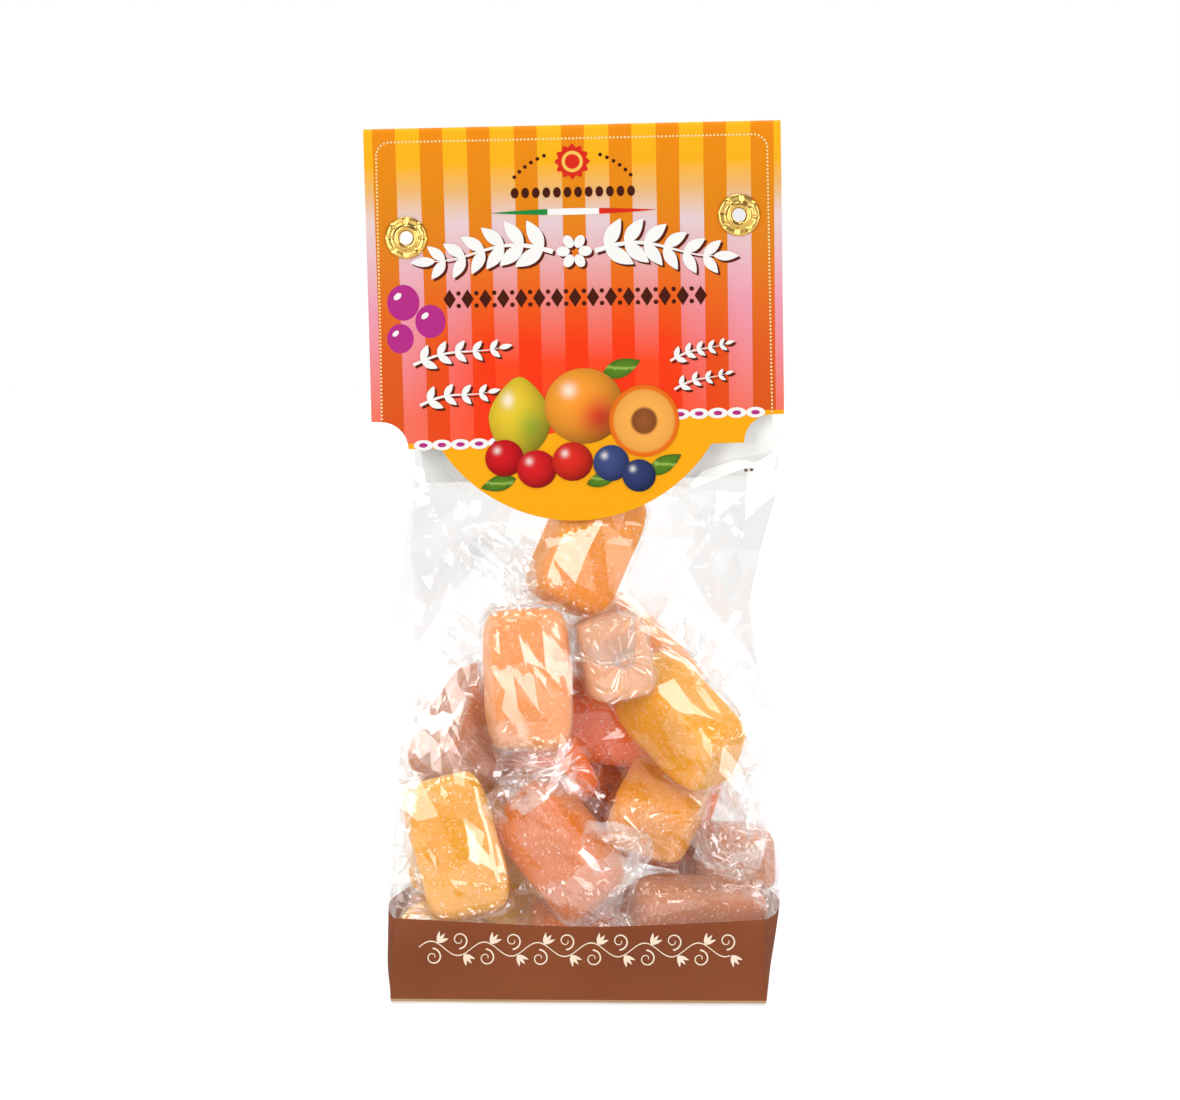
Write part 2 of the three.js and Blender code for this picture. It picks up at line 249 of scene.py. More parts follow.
def travel_along(path):
    """How far each point of a path lies from its start, along the path."""
    steps = np.linalg.norm(np.diff(path, axis=0), axis=1)
    return np.concatenate(((0,), np.cumsum(steps)))

# ---------------------------------------------------------------- meshes and objects

def grid_faces(rows, columns, split=False):
    """Faces of a grid of points, row by row, whose last column joins the first. split cuts each
    face along the diagonal that between_nodes() folds along."""
    index = np.arange(rows * columns).reshape(rows, columns)
    index = np.concatenate((index, index[:, :1]), axis=1)
    near, right, far, up = index[:-1, :-1], index[:-1, 1:], index[1:, 1:], index[1:, :-1]
    if split:
        halves = ((near, right, up), (right, far, up))
        return np.concatenate([np.stack(half, axis=-1).reshape(-1, 3) for half in halves])
    return np.stack((near, right, far, up), axis=-1).reshape(-1, 4)


def add_object(name, data):
    made = bpy.data.objects.new(name, data)
    bpy.context.scene.collection.objects.link(made)
    return made


def used_part(points, faces):
    """The points that the triangles use, and the triangles over those points."""
    used, faces = np.unique(faces, return_inverse=True)
    return points[used], faces.reshape(-1, 3)


def make_mesh(name, points, faces, material, slot, smooth=True, colours=None):
    """A piece of the object from points in millimetres. It rides on the one body."""
    mesh = bpy.data.meshes.new(name)
    mesh.from_pydata(np.asarray(points, float).reshape(-1, 3) * MM, [], faces)
    if colours is not None:
        layer = mesh.color_attributes.new("print", "FLOAT_COLOR", "POINT")
        rgba = np.concatenate((colours, np.ones((len(colours), 1))), axis=1)
        layer.data.foreach_set("color", rgba.astype(np.float32).ravel())
    mesh.polygons.foreach_set("use_smooth", [smooth] * len(mesh.polygons))
    mesh.materials.append(material)
    mesh.update()
    piece = add_object(name, mesh)
    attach(piece, BODY)
    return piece

# ---------------------------------------------------------------- materials

INK = 0.70                      # flat print takes this much of its colour, as the light is strong
PRINT_SPECULAR = 0.05
TOOTH = (1800.0, 2.0)           # size and detail of the noise of the card's surface
WHITE = (1.0, 1.0, 1.0)


def linear(rgb, strength=1.0):
    """A display colour of 0 to 255 as the linear colour that a shader takes."""
    share = np.asarray(rgb, float) / 255
    curve = ((share + 0.055) / 1.055) ** 2.4
    return tuple(strength * np.where(share <= 0.04045, share / 12.92, curve))


class Shader:
    """The node tree of a material or of the world, with short calls for the nodes used here."""

    def __init__(self, name, world=False):
        self.owner = (bpy.data.worlds if world else bpy.data.materials).new(name)
        self.owner.use_nodes = True
        self.tree = self.owner.node_tree
        self.tree.nodes.clear()
        kind = "ShaderNodeOutputWorld" if world else "ShaderNodeOutputMaterial"
        self.output = self.tree.nodes.new(kind)

    def put(self, socket, value):
        if isinstance(value, bpy.types.NodeSocket):
            self.tree.links.new(value, socket)
        elif isinstance(value, tuple) and len(value) == 3 and socket.type == "RGBA":
            socket.default_value = (*value, 1)
        else:
            socket.default_value = value

    def node(self, kind, *values, settings=None, out=0, **inputs):
        """An output of a new node. values fill its sockets in their order, inputs by name."""
        made = self.tree.nodes.new("ShaderNode" + kind)
        for key, value in (settings or {}).items():
            setattr(made, key, value)
        for socket, value in zip(made.inputs, values):
            self.put(socket, value)
        for key, value in inputs.items():
            self.put(made.inputs[key.replace("_", " ")], value)
        return made.outputs[out]

    def math(self, operation, *values, clamp=False):
        return self.node("Math", *values, settings={"operation": operation, "use_clamp": clamp})

    def vector_math(self, operation, *values, out="Vector"):
        return self.node("VectorMath", *values, settings={"operation": operation}, out=out)

    def mix(self, share, low, high):
        made = self.tree.nodes.new("ShaderNodeMix")
        made.data_type = "RGBA"
        for number, value in ((0, share), (6, low), (7, high)):
            self.put(made.inputs[number], value)
        return made.outputs[2]

    def ramp(self, share, stops):
        made = self.tree.nodes.new("ShaderNodeValToRGB")
        self.put(made.inputs[0], share)
        elements = made.color_ramp.elements
        for i, (place, rgb) in enumerate(stops):
            element = elements[i] if i < 2 else elements.new(place)
            element.position = place
            element.color = (*linear(rgb, INK), 1)
        return made.outputs[0]

    def place(self):
        """The point of the surface in the frame's axes, in metres."""
        return self.node("TexCoord", out="Object")

    def axis(self, vector, letter):
        return self.node("SeparateXYZ", vector, out=letter)

    def painted(self, out):
        """What the mesh says about its colour, or about how crumpled it is."""
        return self.node("Attribute", settings={"attribute_name": "print"}, out=out)

    def noise(self, scale, detail=2.0, roughness=0.5):
        return self.node("TexNoise", out="Fac", Vector=self.place(), Scale=scale, Detail=detail,
                         Roughness=roughness)

    def bump(self, height, strength, distance):
        return self.node("Bump", Strength=strength, Distance=distance, Height=height)

    def mirror_share(self, face_on, edge_on):
        """How much a film mirrors: face_on seen square, and edge_on more at grazing."""
        facing = self.node("LayerWeight", Blend=0.5, out="Facing")
        grazing = self.math("POWER", facing, 4.0)
        return self.math("MULTIPLY_ADD", grazing, edge_on, face_on, clamp=True)

    def finish(self, surface):
        self.put(self.output.inputs["Surface"], surface)
        return self.owner

    def principled(self, colour, roughness, **inputs):
        return self.finish(self.node("BsdfPrincipled", Base_Color=colour, Roughness=roughness,
                                     **inputs))

    def printed(self, colour, tooth=0.08):
        """Matt print on card."""
        return self.principled(colour, 0.55, Specular_IOR_Level=PRINT_SPECULAR,
                               Normal=self.bump(self.noise(*TOOTH), tooth, 0.0001))


VEIL_FRONT = (0.62, 0.62, 0.62)     # light that a film's veil throws back
VEIL_THROUGH = (0.45, 0.45, 0.45)   # and lets through


def film_material(name, face_on, edge_on, veil, tint, roughness, sheen=0.0, haze=0.0):
    """Clear film: see-through, with a mirror share that grows towards grazing, and a faint veil.
    sheen and haze add to both where the mesh says that the film lies crumpled in layers. The
    film throws no shadow, as what it turns aside still lights its neighbours."""
    s = Shader(name)
    lit = s.math("SUBTRACT", 1.0, s.node("LightPath", out="Is Shadow Ray"))
    mirror = s.mirror_share(face_on, edge_on)
    if haze:
        crumple = s.painted("Fac")
        veil = s.math("MULTIPLY_ADD", crumple, haze, veil)
        mirror = s.math("MULTIPLY_ADD", crumple, sheen, mirror)
    clear = s.node("BsdfTransparent", Color=tint)
    milk = s.node("AddShader", s.node("BsdfDiffuse", Color=VEIL_FRONT),
                  s.node("BsdfTranslucent", Color=VEIL_THROUGH))
    gloss = s.node("BsdfGlossy", Color=WHITE, Roughness=roughness)
    veiled = s.node("MixShader", s.math("MULTIPLY", veil, lit), clear, milk)
    return s.finish(s.node("MixShader", s.math("MULTIPLY", mirror, lit), veiled, gloss))


PAINTED_GLOW = 0.12             # painted glow: the jelly gives off a little light of its own colour, in place of light that comes through it from behind
DUST = (0.97, 0.93, 0.86)
BLOOM_COVER = 0.35              # how much of the jelly's colour the soft bloom hides
SPECK_COVER = 0.7               # and the grains of the dusting


def jelly_material(name, rgb):
    """Fruit jelly: light goes into it, with a fine pale dusting on the skin and a faint painted
    glow in its own colour.
    """
    s = Shader(name)
    base = linear(rgb)
    colour = s.mix(s.noise(120.0, 3.0), base, tuple(c * 0.72 for c in base))
    bloom = s.math("MULTIPLY_ADD", s.noise(420.0, 5.0, 0.7), 0.7, -0.33, clamp=True)
    bloomed = tuple(lerp(c, pale, BLOOM_COVER) for c, pale in zip(base, DUST))
    colour = s.mix(bloom, colour, bloomed)
    for size, share in ((2400.0, 0.64), (1150.0, 0.67)):
        specks = s.math("SUBTRACT", s.noise(size, 1.0), share)
        specks = s.math("MULTIPLY", specks, 9.0, clamp=True)
        colour = s.mix(s.math("MULTIPLY", specks, SPECK_COVER), colour, DUST)
    skin = s.bump(s.noise(700.0, 4.0, 0.6), 0.35, 0.0004)
    # The emission is a painted glow in the jelly's own colour, standing in for light from behind.
    return s.principled(colour, 0.5, Subsurface_Weight=0.85, Subsurface_Scale=0.0065,
                        Subsurface_Radius=(1.0, 0.5, 0.18), Specular_IOR_Level=0.12,
                        Emission_Color=base, Emission_Strength=PAINTED_GLOW, Normal=skin)


PAINTED_FOLD_HIGHLIGHT_TOP = 1.1                   # below this the band is painted a pale tan, a painted highlight where its bottom fold catches the light


def band_material():
    """Opaque ink on the film: an even brown with a soft gloss that stays weak at grazing, and a
    painted highlight in pale tan along its foot.
    """
    s = Shader("band_ink")
    tone = s.math("MULTIPLY_ADD", s.noise(28.0, 3.0), 2.4, -0.7, clamp=True)
    colour = s.mix(tone, linear((142, 76, 34), INK), linear((131, 62, 26), INK))
    # The band's foot is painted pale tan, as a painted highlight along the bottom fold.
    fold_highlight = s.math("LESS_THAN", s.axis(s.place(), "Z"), PAINTED_FOLD_HIGHLIGHT_TOP * MM)
    colour = s.mix(fold_highlight, colour, linear((204, 172, 128), INK))
    fine = s.bump(s.noise(900.0, 2.0), 0.1, 0.0002)
    matt = s.node("MixShader", 0.25, s.node("BsdfDiffuse", Color=colour, Normal=fine),
                  s.node("BsdfTranslucent", Color=linear((206, 132, 84))))
    gloss = s.node("BsdfGlossy", Color=WHITE, Roughness=0.22, Normal=fine)
    return s.finish(s.node("MixShader", s.mirror_share(0.018, 0.02), matt, gloss))


def brass_material():
    s = Shader("stamped_brass")
    colour = s.mix(s.noise(500.0, 3.0), linear((226, 190, 108)), linear((196, 154, 78)))
    marks = s.noise(1500.0, 3.0, 0.6)
    return s.principled(colour, s.math("MULTIPLY_ADD", marks, 0.14, 0.2), Metallic=1.0,
                        Normal=s.bump(marks, 0.1, 0.0002))


def ink_material(name, rgb, strength=INK):
    """A flat printed colour, with the card's fine tooth."""
    s = Shader(name)
    colour = s.mix(s.noise(*TOOTH), linear(rgb, strength), linear(rgb, strength * 0.93))
    return s.printed(colour)


def painted_material(name):
    """Print whose colour changes across the piece, read from the mesh."""
    s = Shader(name)
    return s.printed(s.painted("Color"))


STRIPE_PERIOD = 10.27
STRIPE_START = -43.4            # the first dark stripe begins here
STRIPE_DARK_SHARE = 0.487
STRIPE_TAPER = 0.00024          # the stripes draw together towards the lower edge
GLOW_DROP = 63.0                # the print's colours run from the fold to this far down
MIDDLE_REACH = 38.85            # the middle's colours end this far to each side
MIDDLE_FADE = 21.0              # and fade over this width
FIELD_MIDDLE = 65.6             # the yellow field begins this far down in the middle
FIELD_CLIMB = 2.9               # and this much lower at the left and higher at the right
FIELD_TURN = 12.0               # it climbs within about this far of the middle

# Stripe colours from the fold (0) to the lower edge (1), at the card's edges and its middle.
DARK_EDGE = ((0.0, (242, 141, 8)), (0.25, (228, 136, 16)), (0.42, (228, 128, 26)),
             (0.6, (230, 108, 30)), (0.8, (224, 88, 28)), (1.0, (222, 82, 26)))
DARK_MIDDLE = ((0.0, (242, 141, 8)), (0.25, (230, 136, 14)), (0.42, (232, 124, 26)),
               (0.58, (238, 94, 24)), (0.75, (250, 52, 14)), (1.0, (252, 44, 14)))
LIGHT_TOP = ((0.0, (254, 186, 24)), (0.13, (254, 180, 24)), (0.22, (238, 184, 112)))
LIGHT_EDGE = (*LIGHT_TOP, (0.33, (233, 210, 210)), (0.62, (238, 160, 182)),
              (1.0, (246, 116, 96)))
LIGHT_MIDDLE = (*LIGHT_TOP, (0.33, (231, 206, 213)), (0.6, (238, 134, 128)),
                (0.82, (253, 68, 30)))
TAB_YELLOW = (254, 173, 12)


def card_material():
    """Striped print outside, bare greyish board inside and at the cut edges."""
    s = Shader("printed_card")
    start = (CARD_MIDDLE_X * MM, 0.0, CARD_TOP * MM)
    from_fold = s.vector_math("SUBTRACT", s.place(), start)

    def along(*way):
        return s.math("DIVIDE", s.vector_math("DOT_PRODUCT", from_fold, way, out="Value"), MM)

    u = along(math.cos(CARD_TILT), 0.0, math.sin(CARD_TILT))
    drop = along(math.sin(CARD_TILT), 0.0, -math.cos(CARD_TILT))
    taper = s.math("MULTIPLY_ADD", drop, STRIPE_TAPER, 1.0)
    turns = s.math("SUBTRACT", s.math("MULTIPLY", u, taper), STRIPE_START)
    turns = s.math("DIVIDE", turns, STRIPE_PERIOD)
    dark = s.math("LESS_THAN", s.math("FRACT", turns), STRIPE_DARK_SHARE)
    depth = s.math("DIVIDE", drop, GLOW_DROP, clamp=True)
    middle = s.math("SUBTRACT", MIDDLE_REACH, s.math("ABSOLUTE", u))
    middle = s.math("DIVIDE", middle, MIDDLE_FADE, clamp=True)
    light_stripe, dark_stripe = (
        s.mix(middle, s.ramp(depth, edge), s.ramp(depth, centre))
        for edge, centre in ((LIGHT_EDGE, LIGHT_MIDDLE), (DARK_EDGE, DARK_MIDDLE)))
    stripes = s.mix(dark, light_stripe, dark_stripe)
    # The yellow field lies under a line that climbs from left to right.
    climb = s.math("TANH", s.math("DIVIDE", u, FIELD_TURN))
    edge = s.math("MULTIPLY_ADD", climb, -FIELD_CLIMB, FIELD_MIDDLE)
    outside = s.mix(s.math("GREATER_THAN", drop, edge), stripes, linear(TAB_YELLOW, INK))
    outside = s.mix(s.math("MULTIPLY", s.noise(*TOOTH), 0.1), outside, (0.4, 0.16, 0.03))
    # The outer side faces away from the bag's middle plane, or up at the fold.
    normal = s.node("NewGeometry", out="Normal")
    outward = s.math("MULTIPLY", s.axis(s.place(), "Y"), s.axis(normal, "Y"))
    outer = s.math("GREATER_THAN", outward, 0.0001)
    over_fold = s.math("GREATER_THAN", s.axis(normal, "Z"), 0.25)
    near_fold = s.math("LESS_THAN", drop, 3.0)
    outer = s.math("MAXIMUM", outer, s.math("MULTIPLY", over_fold, near_fold))
    board = s.mix(s.noise(400.0, 4.0), linear((250, 249, 246)), linear((243, 242, 238)))
    return s.printed(s.mix(outer, board, outside), 0.1)

# ---------------------------------------------------------------- the bag's surface

def smooth_levels(z):
    """The bag's level values at heights z, on curves that never overshoot the table."""
    knots, values = BAG_LEVELS[:, 0], BAG_LEVELS[:, 1:]
    step = np.diff(knots)
    slope = np.diff(values, axis=0) / step[:, None]
    tangent = np.zeros_like(values)
    product = slope[:-1] * slope[1:]
    total = np.where(product > 0, slope[:-1] + slope[1:], 1.0)
    tangent[1:-1] = np.where(product > 0, 2 * product / total, 0.0)
    z = np.clip(np.asarray(z, float), knots[0], knots[-1])
    cell = np.clip(np.searchsorted(knots, z, "right") - 1, 0, len(step) - 1)
    width = step[cell][..., None]
    t = ((z - knots[cell]) / step[cell])[..., None]
    start, end = values[cell], values[cell + 1]
    rise = tangent[cell] * width * t * (1 - t) ** 2 - tangent[cell + 1] * width * t * t * (1 - t)
    return np.moveaxis(start + (end - start) * t * t * (3 - 2 * t) + rise, -1, 0)


def belly_share(across):
    return 1 - np.abs(across) ** 2.5


def gusset_reach(reach, across):
    """How far a gusset stands out: round where it bulges, creased in its middle if folded in."""
    folded = np.clip(-reach / 6, 0, 1)
    return reach * lerp(1 - across ** 2, 1 - np.abs(across), folded)


def bag_surface(w, z):
    """Points of the bag. w runs from 0 to 4: front, right gusset, back, left gusset."""
    left, right, front, back, belly_front, belly_back, side_left, side_right = smooth_levels(z)
    side = np.floor(w).astype(int) % 4
    mid = w - np.floor(w)
    across = 2 * mid - 1
    x = np.choose(side, (lerp(left, right, mid), right + gusset_reach(side_right, across),
                         lerp(right, left, mid), left - gusset_reach(side_left, across)))
    y = np.choose(side, (front - belly_front * belly_share(across), lerp(front, back, mid),
                         back + belly_back * belly_share(across), lerp(back, front, mid)))
    return np.stack((x, y, z + 0 * x), axis=-1)


def keep_inside(points, margin):
    """Points moved to lie inside the bag, margin clear of its film."""
    x, y, z = np.moveaxis(np.asarray(points, float), -1, 0)
    z = np.maximum(z, margin + 0.3)
    left, right, front, back, belly_front, belly_back, side_left, side_right = smooth_levels(z)
    along_y = np.clip(2 * (y - front) / (back - front) - 1, -1, 1)
    x = np.clip(x, left - gusset_reach(side_left, along_y) + margin,
                right + gusset_reach(side_right, along_y) - margin)
    along_x = np.clip(2 * (x - left) / (right - left) - 1, -1, 1)
    belly = belly_share(along_x)
    y = np.clip(y, front - belly_front * belly + margin, back + belly_back * belly - margin)
    return np.stack((x, y, z), axis=-1)

# ---------------------------------------------------------------- the sweets

class Sweet:
    """One wrapped jelly: its place, its axes and its sizes."""

    def __init__(self, number, row):
        self.name, self.flavour, x, y, z, slant, lean, roll, self.held = row
        self.seed = 100 + 11 * number
        a, b, c = map(math.radians, (slant, lean, roll))
        self.long = np.array((math.cos(a) * math.cos(b), math.sin(b), math.sin(a) * math.cos(b)))
        level = np.array((-math.sin(a), 0.0, math.cos(a)))
        self.wide = level * math.cos(c) + np.cross(self.long, level) * math.sin(c)
        self.thick = np.cross(self.long, self.wide)
        self.axes = np.stack((self.long, self.wide, self.thick))
        self.middle = np.array((x, y, z), float)
        vary = np.array([scatter(self.seed, k) for k in range(3)])
        self.half = (JELLY_SIZE + JELLY_VARIES * vary) / 2

    def world(self, local):
        return self.middle + np.asarray(local) @ self.axes

    def local(self, points):
        return (np.asarray(points) - self.middle) @ self.axes.T


BALL_RADIUS = 8.3               # what keeps the sweets apart while they settle
BALL_GAP = 0.6
SETTLE_STEPS = 90
CORNER_SHARE = 0.88             # a block's rounded corners reach this far out of its box
SETTLE_CLEARANCE = 1.2          # how far the blocks stay from the film while they settle
JELLY_CLEARANCE = 1.4           # and in the end
WRAPPER_CLEARANCE = 0.5
END_WELD = 0.00002              # closes a jelly's ends, in metres


def settle(sweets):
    """Pushes the sweets apart and inside the bag. Against each other they stand as three balls
    in a row, and against the film as the corners of their blocks."""
    reach = JELLY_SIZE[0] / 2 - BALL_RADIUS
    offsets = np.array((-reach, 0.0, reach))
    owner = np.repeat(np.arange(len(sweets)), len(offsets))
    corners = np.array([(a, b, c) for a in (-1, 0, 1) for b in (-1, 1) for c in (-1, 1)])
    wanted = 2 * BALL_RADIUS + BALL_GAP
    for _ in range(SETTLE_STEPS):
        balls = np.stack([s.middle + o * s.long for s in sweets for o in offsets])
        apart = balls[:, None] - balls[None]
        far = np.linalg.norm(apart, axis=-1) + 1e-6
        near = (far < wanted) & (owner[:, None] != owner[None])
        depth = np.where(near, (wanted - far) / 2, 0)
        push = (apart / far[..., None] * depth[..., None]).sum(axis=1)
        for i, sweet in enumerate(sweets):
            loose = 1 - sweet.held
            step = push[owner == i].mean(axis=0) * 0.5 * np.array((loose, max(loose, 0.2), loose))
            sweet.middle = sweet.middle + step
            points = sweet.world(corners * CORNER_SHARE * sweet.half)
            over = keep_inside(points, SETTLE_CLEARANCE) - points
            back = over[np.abs(over).argmax(axis=0), (0, 1, 2)]
            sweet.middle = sweet.middle + back * np.array((0.3, 0.9, 0.3))


BLOCK_POWER = 5.0               # how square the jelly's sections are


def block_hug(sweet, angle, grow=0.0):
    """Radius of the jelly's section in the direction angle, made larger by grow."""
    flat = np.abs(np.cos(angle) / (sweet.half[1] + grow)) ** BLOCK_POWER
    tall = np.abs(np.sin(angle) / (sweet.half[2] + grow)) ** BLOCK_POWER
    return (flat + tall) ** (-1 / BLOCK_POWER)


def block_shrink(out, half):
    """How much of its section the block keeps at the distance out from its middle."""
    return np.clip(1 - np.clip(out / half, 0, 1) ** BLOCK_POWER, 0, 1) ** (1 / BLOCK_POWER)


def jelly_points(sweet, rows=34, columns=52):
    """A rounded oblong block with slightly uneven faces."""
    half = sweet.half[0]
    t = np.linspace(-1, 1, rows)[:, None]
    x = half * np.sign(t) * (1 - (1 - np.abs(t)) ** 1.9)
    angle = round_angles(columns)[None]
    turns = angle / (2 * math.pi) * 5
    uneven = 1 - 0.03 - 0.03 * ripple(turns, x / 6 + 7, sweet.seed, 5)
    radius = block_hug(sweet, angle) * block_shrink(np.abs(x), half) * uneven
    x = x * (1 - 0.012 - 0.012 * ripple(turns, x * 0 + 3, sweet.seed + 3, 5))
    return np.stack((x + 0 * radius, radius * np.cos(angle), radius * np.sin(angle)), axis=-1)


def grid_normals(points):
    """Unit normals of a grid whose columns close on themselves, pointing out of the tube."""
    around = np.roll(points, -1, 1) - np.roll(points, 1, 1)
    return unit(np.cross(np.gradient(points, axis=0), around))


def fan_direction(sweet, end, neck):
    """Where a wrapper's fan points: at its place in FANS, or somewhere near the long side."""
    target = FANS.get((sweet.name, end))
    if target is not None:
        return unit(np.array(target[:3]) - neck)
    sway = np.array([scatter(sweet.seed + 61 + end, k) for k in range(3)])
    return unit(end * sweet.long + 0.9 * sway)


def fan_width(sweet, end):
    """How wide a fan opens, against the usual."""
    target = FANS.get((sweet.name, end), ())
    return target[3] if len(target) > 3 else 1.0


FAN_LENGTH = 13.5
FAN_RADIUS = 10.5
NECK_RADIUS = 1.0
NECK_REACH = 3.2                # from the jelly's end to the tightest part of the twist
SLACK = 0.9                     # how far the wrapper stands off the jelly
BODY_CELL = (6, 8)              # rows and columns of a flat facet over the jelly
END_CELL = (4, 2)               # and of one in the twists and fans
PLEAT_CELL = (4, 4)             # and of a pleat there
BODY_ROWS = 7 * BODY_CELL[0] + 1
WRAP_COLUMNS = 12 * BODY_CELL[1]
NECK_ROWS = 5
FAN_ROWS = 19
CREASE_ANGLE = math.radians(3.5)    # a wrapper's edges sharper than this show as creases
TWIST = 2.2


def outside_block(points, sweet, clearance, deepest=0.0):
    """Points pushed out of a jelly's block. Those deeper inside than deepest stay."""
    local = sweet.local(points) / sweet.half
    depth = (np.abs(local) ** BLOCK_POWER).sum(axis=-1) ** (1 / BLOCK_POWER)
    wanted = 1 + clearance / sweet.half[2]
    moves = (depth < wanted) & (depth > deepest)
    grow = np.where(moves, wanted / np.maximum(depth, 0.1), 1.0)
    return sweet.world(local * sweet.half * grow[..., None])


def wrapper_rows(sweet, body_end, neck_end):
    """Places of a wrapper's rows along its sweet, and how far each lies out in its fan."""
    body = np.linspace(-1, 1, BODY_ROWS)
    body = body_end * np.sign(body) * (1 - (1 - np.abs(body)) ** 1.5)
    neck = np.linspace(body_end, neck_end, NECK_ROWS + 1)[1:]
    tips = [neck_end + FAN_LENGTH * (1 + 0.18 * scatter(sweet.seed, 21, end)) for end in (-1, 1)]
    first, last = (np.concatenate((neck, np.linspace(neck_end, tip, FAN_ROWS + 1)[1:]))
                   for tip in tips)
    x = np.concatenate((-first[::-1], body, last))[:, None]
    tip = np.where(x < 0, *tips)
    return x, np.clip((np.abs(x) - neck_end) / (tip - neck_end), 0, 1)


def wrapper_spine(sweet, x, spread, neck_end):
    """The middle and the two axes of each row's section: straight through the body, then bent
    towards each fan's direction."""
    centre = np.clip(x, -neck_end, neck_end) * sweet.long[None] + sweet.middle
    wide = np.broadcast_to(sweet.wide, centre.shape).copy()
    thick = np.broadcast_to(sweet.thick, centre.shape).copy()
    for end in (-1, 1):
        before = neck_end
        spot = sweet.middle + end * neck_end * sweet.long
        aim = fan_direction(sweet, end, spot)
        for row in np.flatnonzero(end * x[:, 0] > neck_end)[::end]:
            out = end * x[row, 0]
            way = unit(lerp(end * sweet.long, aim, smoothstep(spread[row, 0], 0.0, 0.35)))
            spot = spot + way * (out - before)
            before = out
            centre[row] = spot
            wide[row] = unit(sweet.wide - way * (sweet.wide @ way))
            thick[row] = end * np.cross(way, wide[row])
    return centre, wide, thick


def wrapper_points(sweet, sweets):
    """A clear sheet round the jelly, twisted to a neck at each end, with a fan past each neck.
    Returns its points, and how crumpled the film is at each."""
    half = sweet.half[0]
    body_end, neck_end = half + SLACK, half + NECK_REACH
    x, spread = wrapper_rows(sweet, body_end, neck_end)
    out = np.abs(x)
    end = np.where(x < 0, -1, 1)
    wound = smoothstep(out, half * 0.82, half * 0.97)
    loose = 1 - smoothstep(out, half * 0.6, half * 0.85)

    def facets(number, row_step, column_step):
        return creases(sweet.seed + number, len(x), WRAP_COLUMNS, row_step, column_step)

    # The nodes of the facets are moved about, so that no row of creases is straight. A third of
    # them stand at the block's long edges.
    edge = math.atan2(sweet.half[2], sweet.half[1])
    stops = np.array((edge, math.pi - edge, math.pi + edge,
                      2 * math.pi - edge, 2 * math.pi + edge))
    quarters = np.arange(WRAP_COLUMNS) / WRAP_COLUMNS * 4
    theta = np.interp(quarters, np.arange(5), stops)[None]
    between = np.sin(quarters * math.pi)[None] ** 2
    theta = theta + 0.13 * between * loose * facets(1, *BODY_CELL)
    theta = theta + end * TWIST * smoothstep(out, half - 1, neck_end + 1)
    shift = 1.6 * loose * facets(2, *BODY_CELL)
    hug = block_hug(sweet, theta, SLACK) * block_shrink(np.abs(x + shift), body_end)
    neck_radius = NECK_RADIUS * (1 + 0.5 * smoothstep(neck_end - out, 0, 2))
    width = np.where(x < 0, fan_width(sweet, -1), fan_width(sweet, 1))
    flare = FAN_RADIUS * width * (1 + 0.25 * scatter(sweet.seed + 5, end)) * spread ** 0.75
    radius = (hug ** 4 + neck_radius ** 4) ** 0.25 + flare
    flat = radius * np.cos(theta) * lerp(1.0, 1.2, spread)
    tall = radius * np.sin(theta) * lerp(1.0, 0.6, spread)
    press = math.pi * scatter(sweet.seed + 61, end) * (spread > 0)
    y = np.cos(press) * flat - np.sin(press) * tall
    z = np.sin(press) * flat + np.cos(press) * tall
    centre, wide, thick = wrapper_spine(sweet, x, spread, neck_end)
    base = centre[:, None] + y[..., None] * wide[:, None] + z[..., None] * thick[:, None]
    base = base + shift[..., None] * sweet.long

    # Flat facets over the body, and sharp pleats that run through the twists into the fans.
    normal = grid_normals(base)
    bulge = 0.3 + 0.75 * facets(41, *BODY_CELL)
    over = between_nodes(base + normal * bulge[..., None], *BODY_CELL)
    over = over + normal * (0.05 * facets(47, 3, 4))[..., None]
    column = np.arange(WRAP_COLUMNS)[None] // 4 + 0 * x.astype(int)
    fold = np.where(column % 2, -1.0, 1.0) * (0.6 + 0.4 * scatter(sweet.seed + 51, column))
    fold = 0.8 * between_nodes(fold, *PLEAT_CELL) + 0.5 * facets(53, *END_CELL)
    pleated = base + normal * (0.13 * radius * fold)[..., None]
    points = lerp(over, pleated, wound[..., None])
    ragged = 1.4 * spread ** 3 * facets(71, 4, 6)
    points = points + unit(np.gradient(centre, axis=0))[:, None] * (ragged * end)[..., None]

    # No film goes through a jelly.
    points = outside_block(points, sweet, 0.1)
    for other in sweets:
        if other is not sweet:
            points = outside_block(points, other, 0.35, deepest=0.45)
    return points, smoothstep(out, half * 0.86, neck_end) + 0 * theta


def build_sweets(wrap_material):
    """All the jellies with their wrappers. Returns the sweets, for the film to lie over."""
    sweets = [Sweet(number, row) for number, row in enumerate(SWEETS)]
    settle(sweets)
    jelly_looks = {key: jelly_material("jelly_" + key, rgb) for key, (_, rgb) in FLAVOURS.items()}
    for sweet in sweets:
        slot = FLAVOURS[sweet.flavour][0]
        block = jelly_points(sweet)
        points = keep_inside(sweet.world(block), JELLY_CLEARANCE)
        faces = grid_faces(*block.shape[:2])
        jelly = make_mesh("jelly_" + sweet.name, points, faces, jelly_looks[sweet.flavour], slot)
        weld = jelly.modifiers.new("close_ends", "WELD")
        weld.merge_threshold = END_WELD
        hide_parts("bag")
        sheet, crumple = wrapper_points(sweet, sweets)
        sheet = keep_inside(sheet, WRAPPER_CLEARANCE)
        faces = grid_faces(*sheet.shape[:2], split=True)
        wrapper = make_mesh("wrapper_" + sweet.name, sheet, faces, wrap_material, "wrapper",
                            colours=np.repeat(crumple.reshape(-1, 1), 3, axis=1))
        wrapper.data.set_sharp_from_angle(angle=CREASE_ANGLE)
        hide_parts("bag")
    return sweets

# ---------------------------------------------------------------- film and band

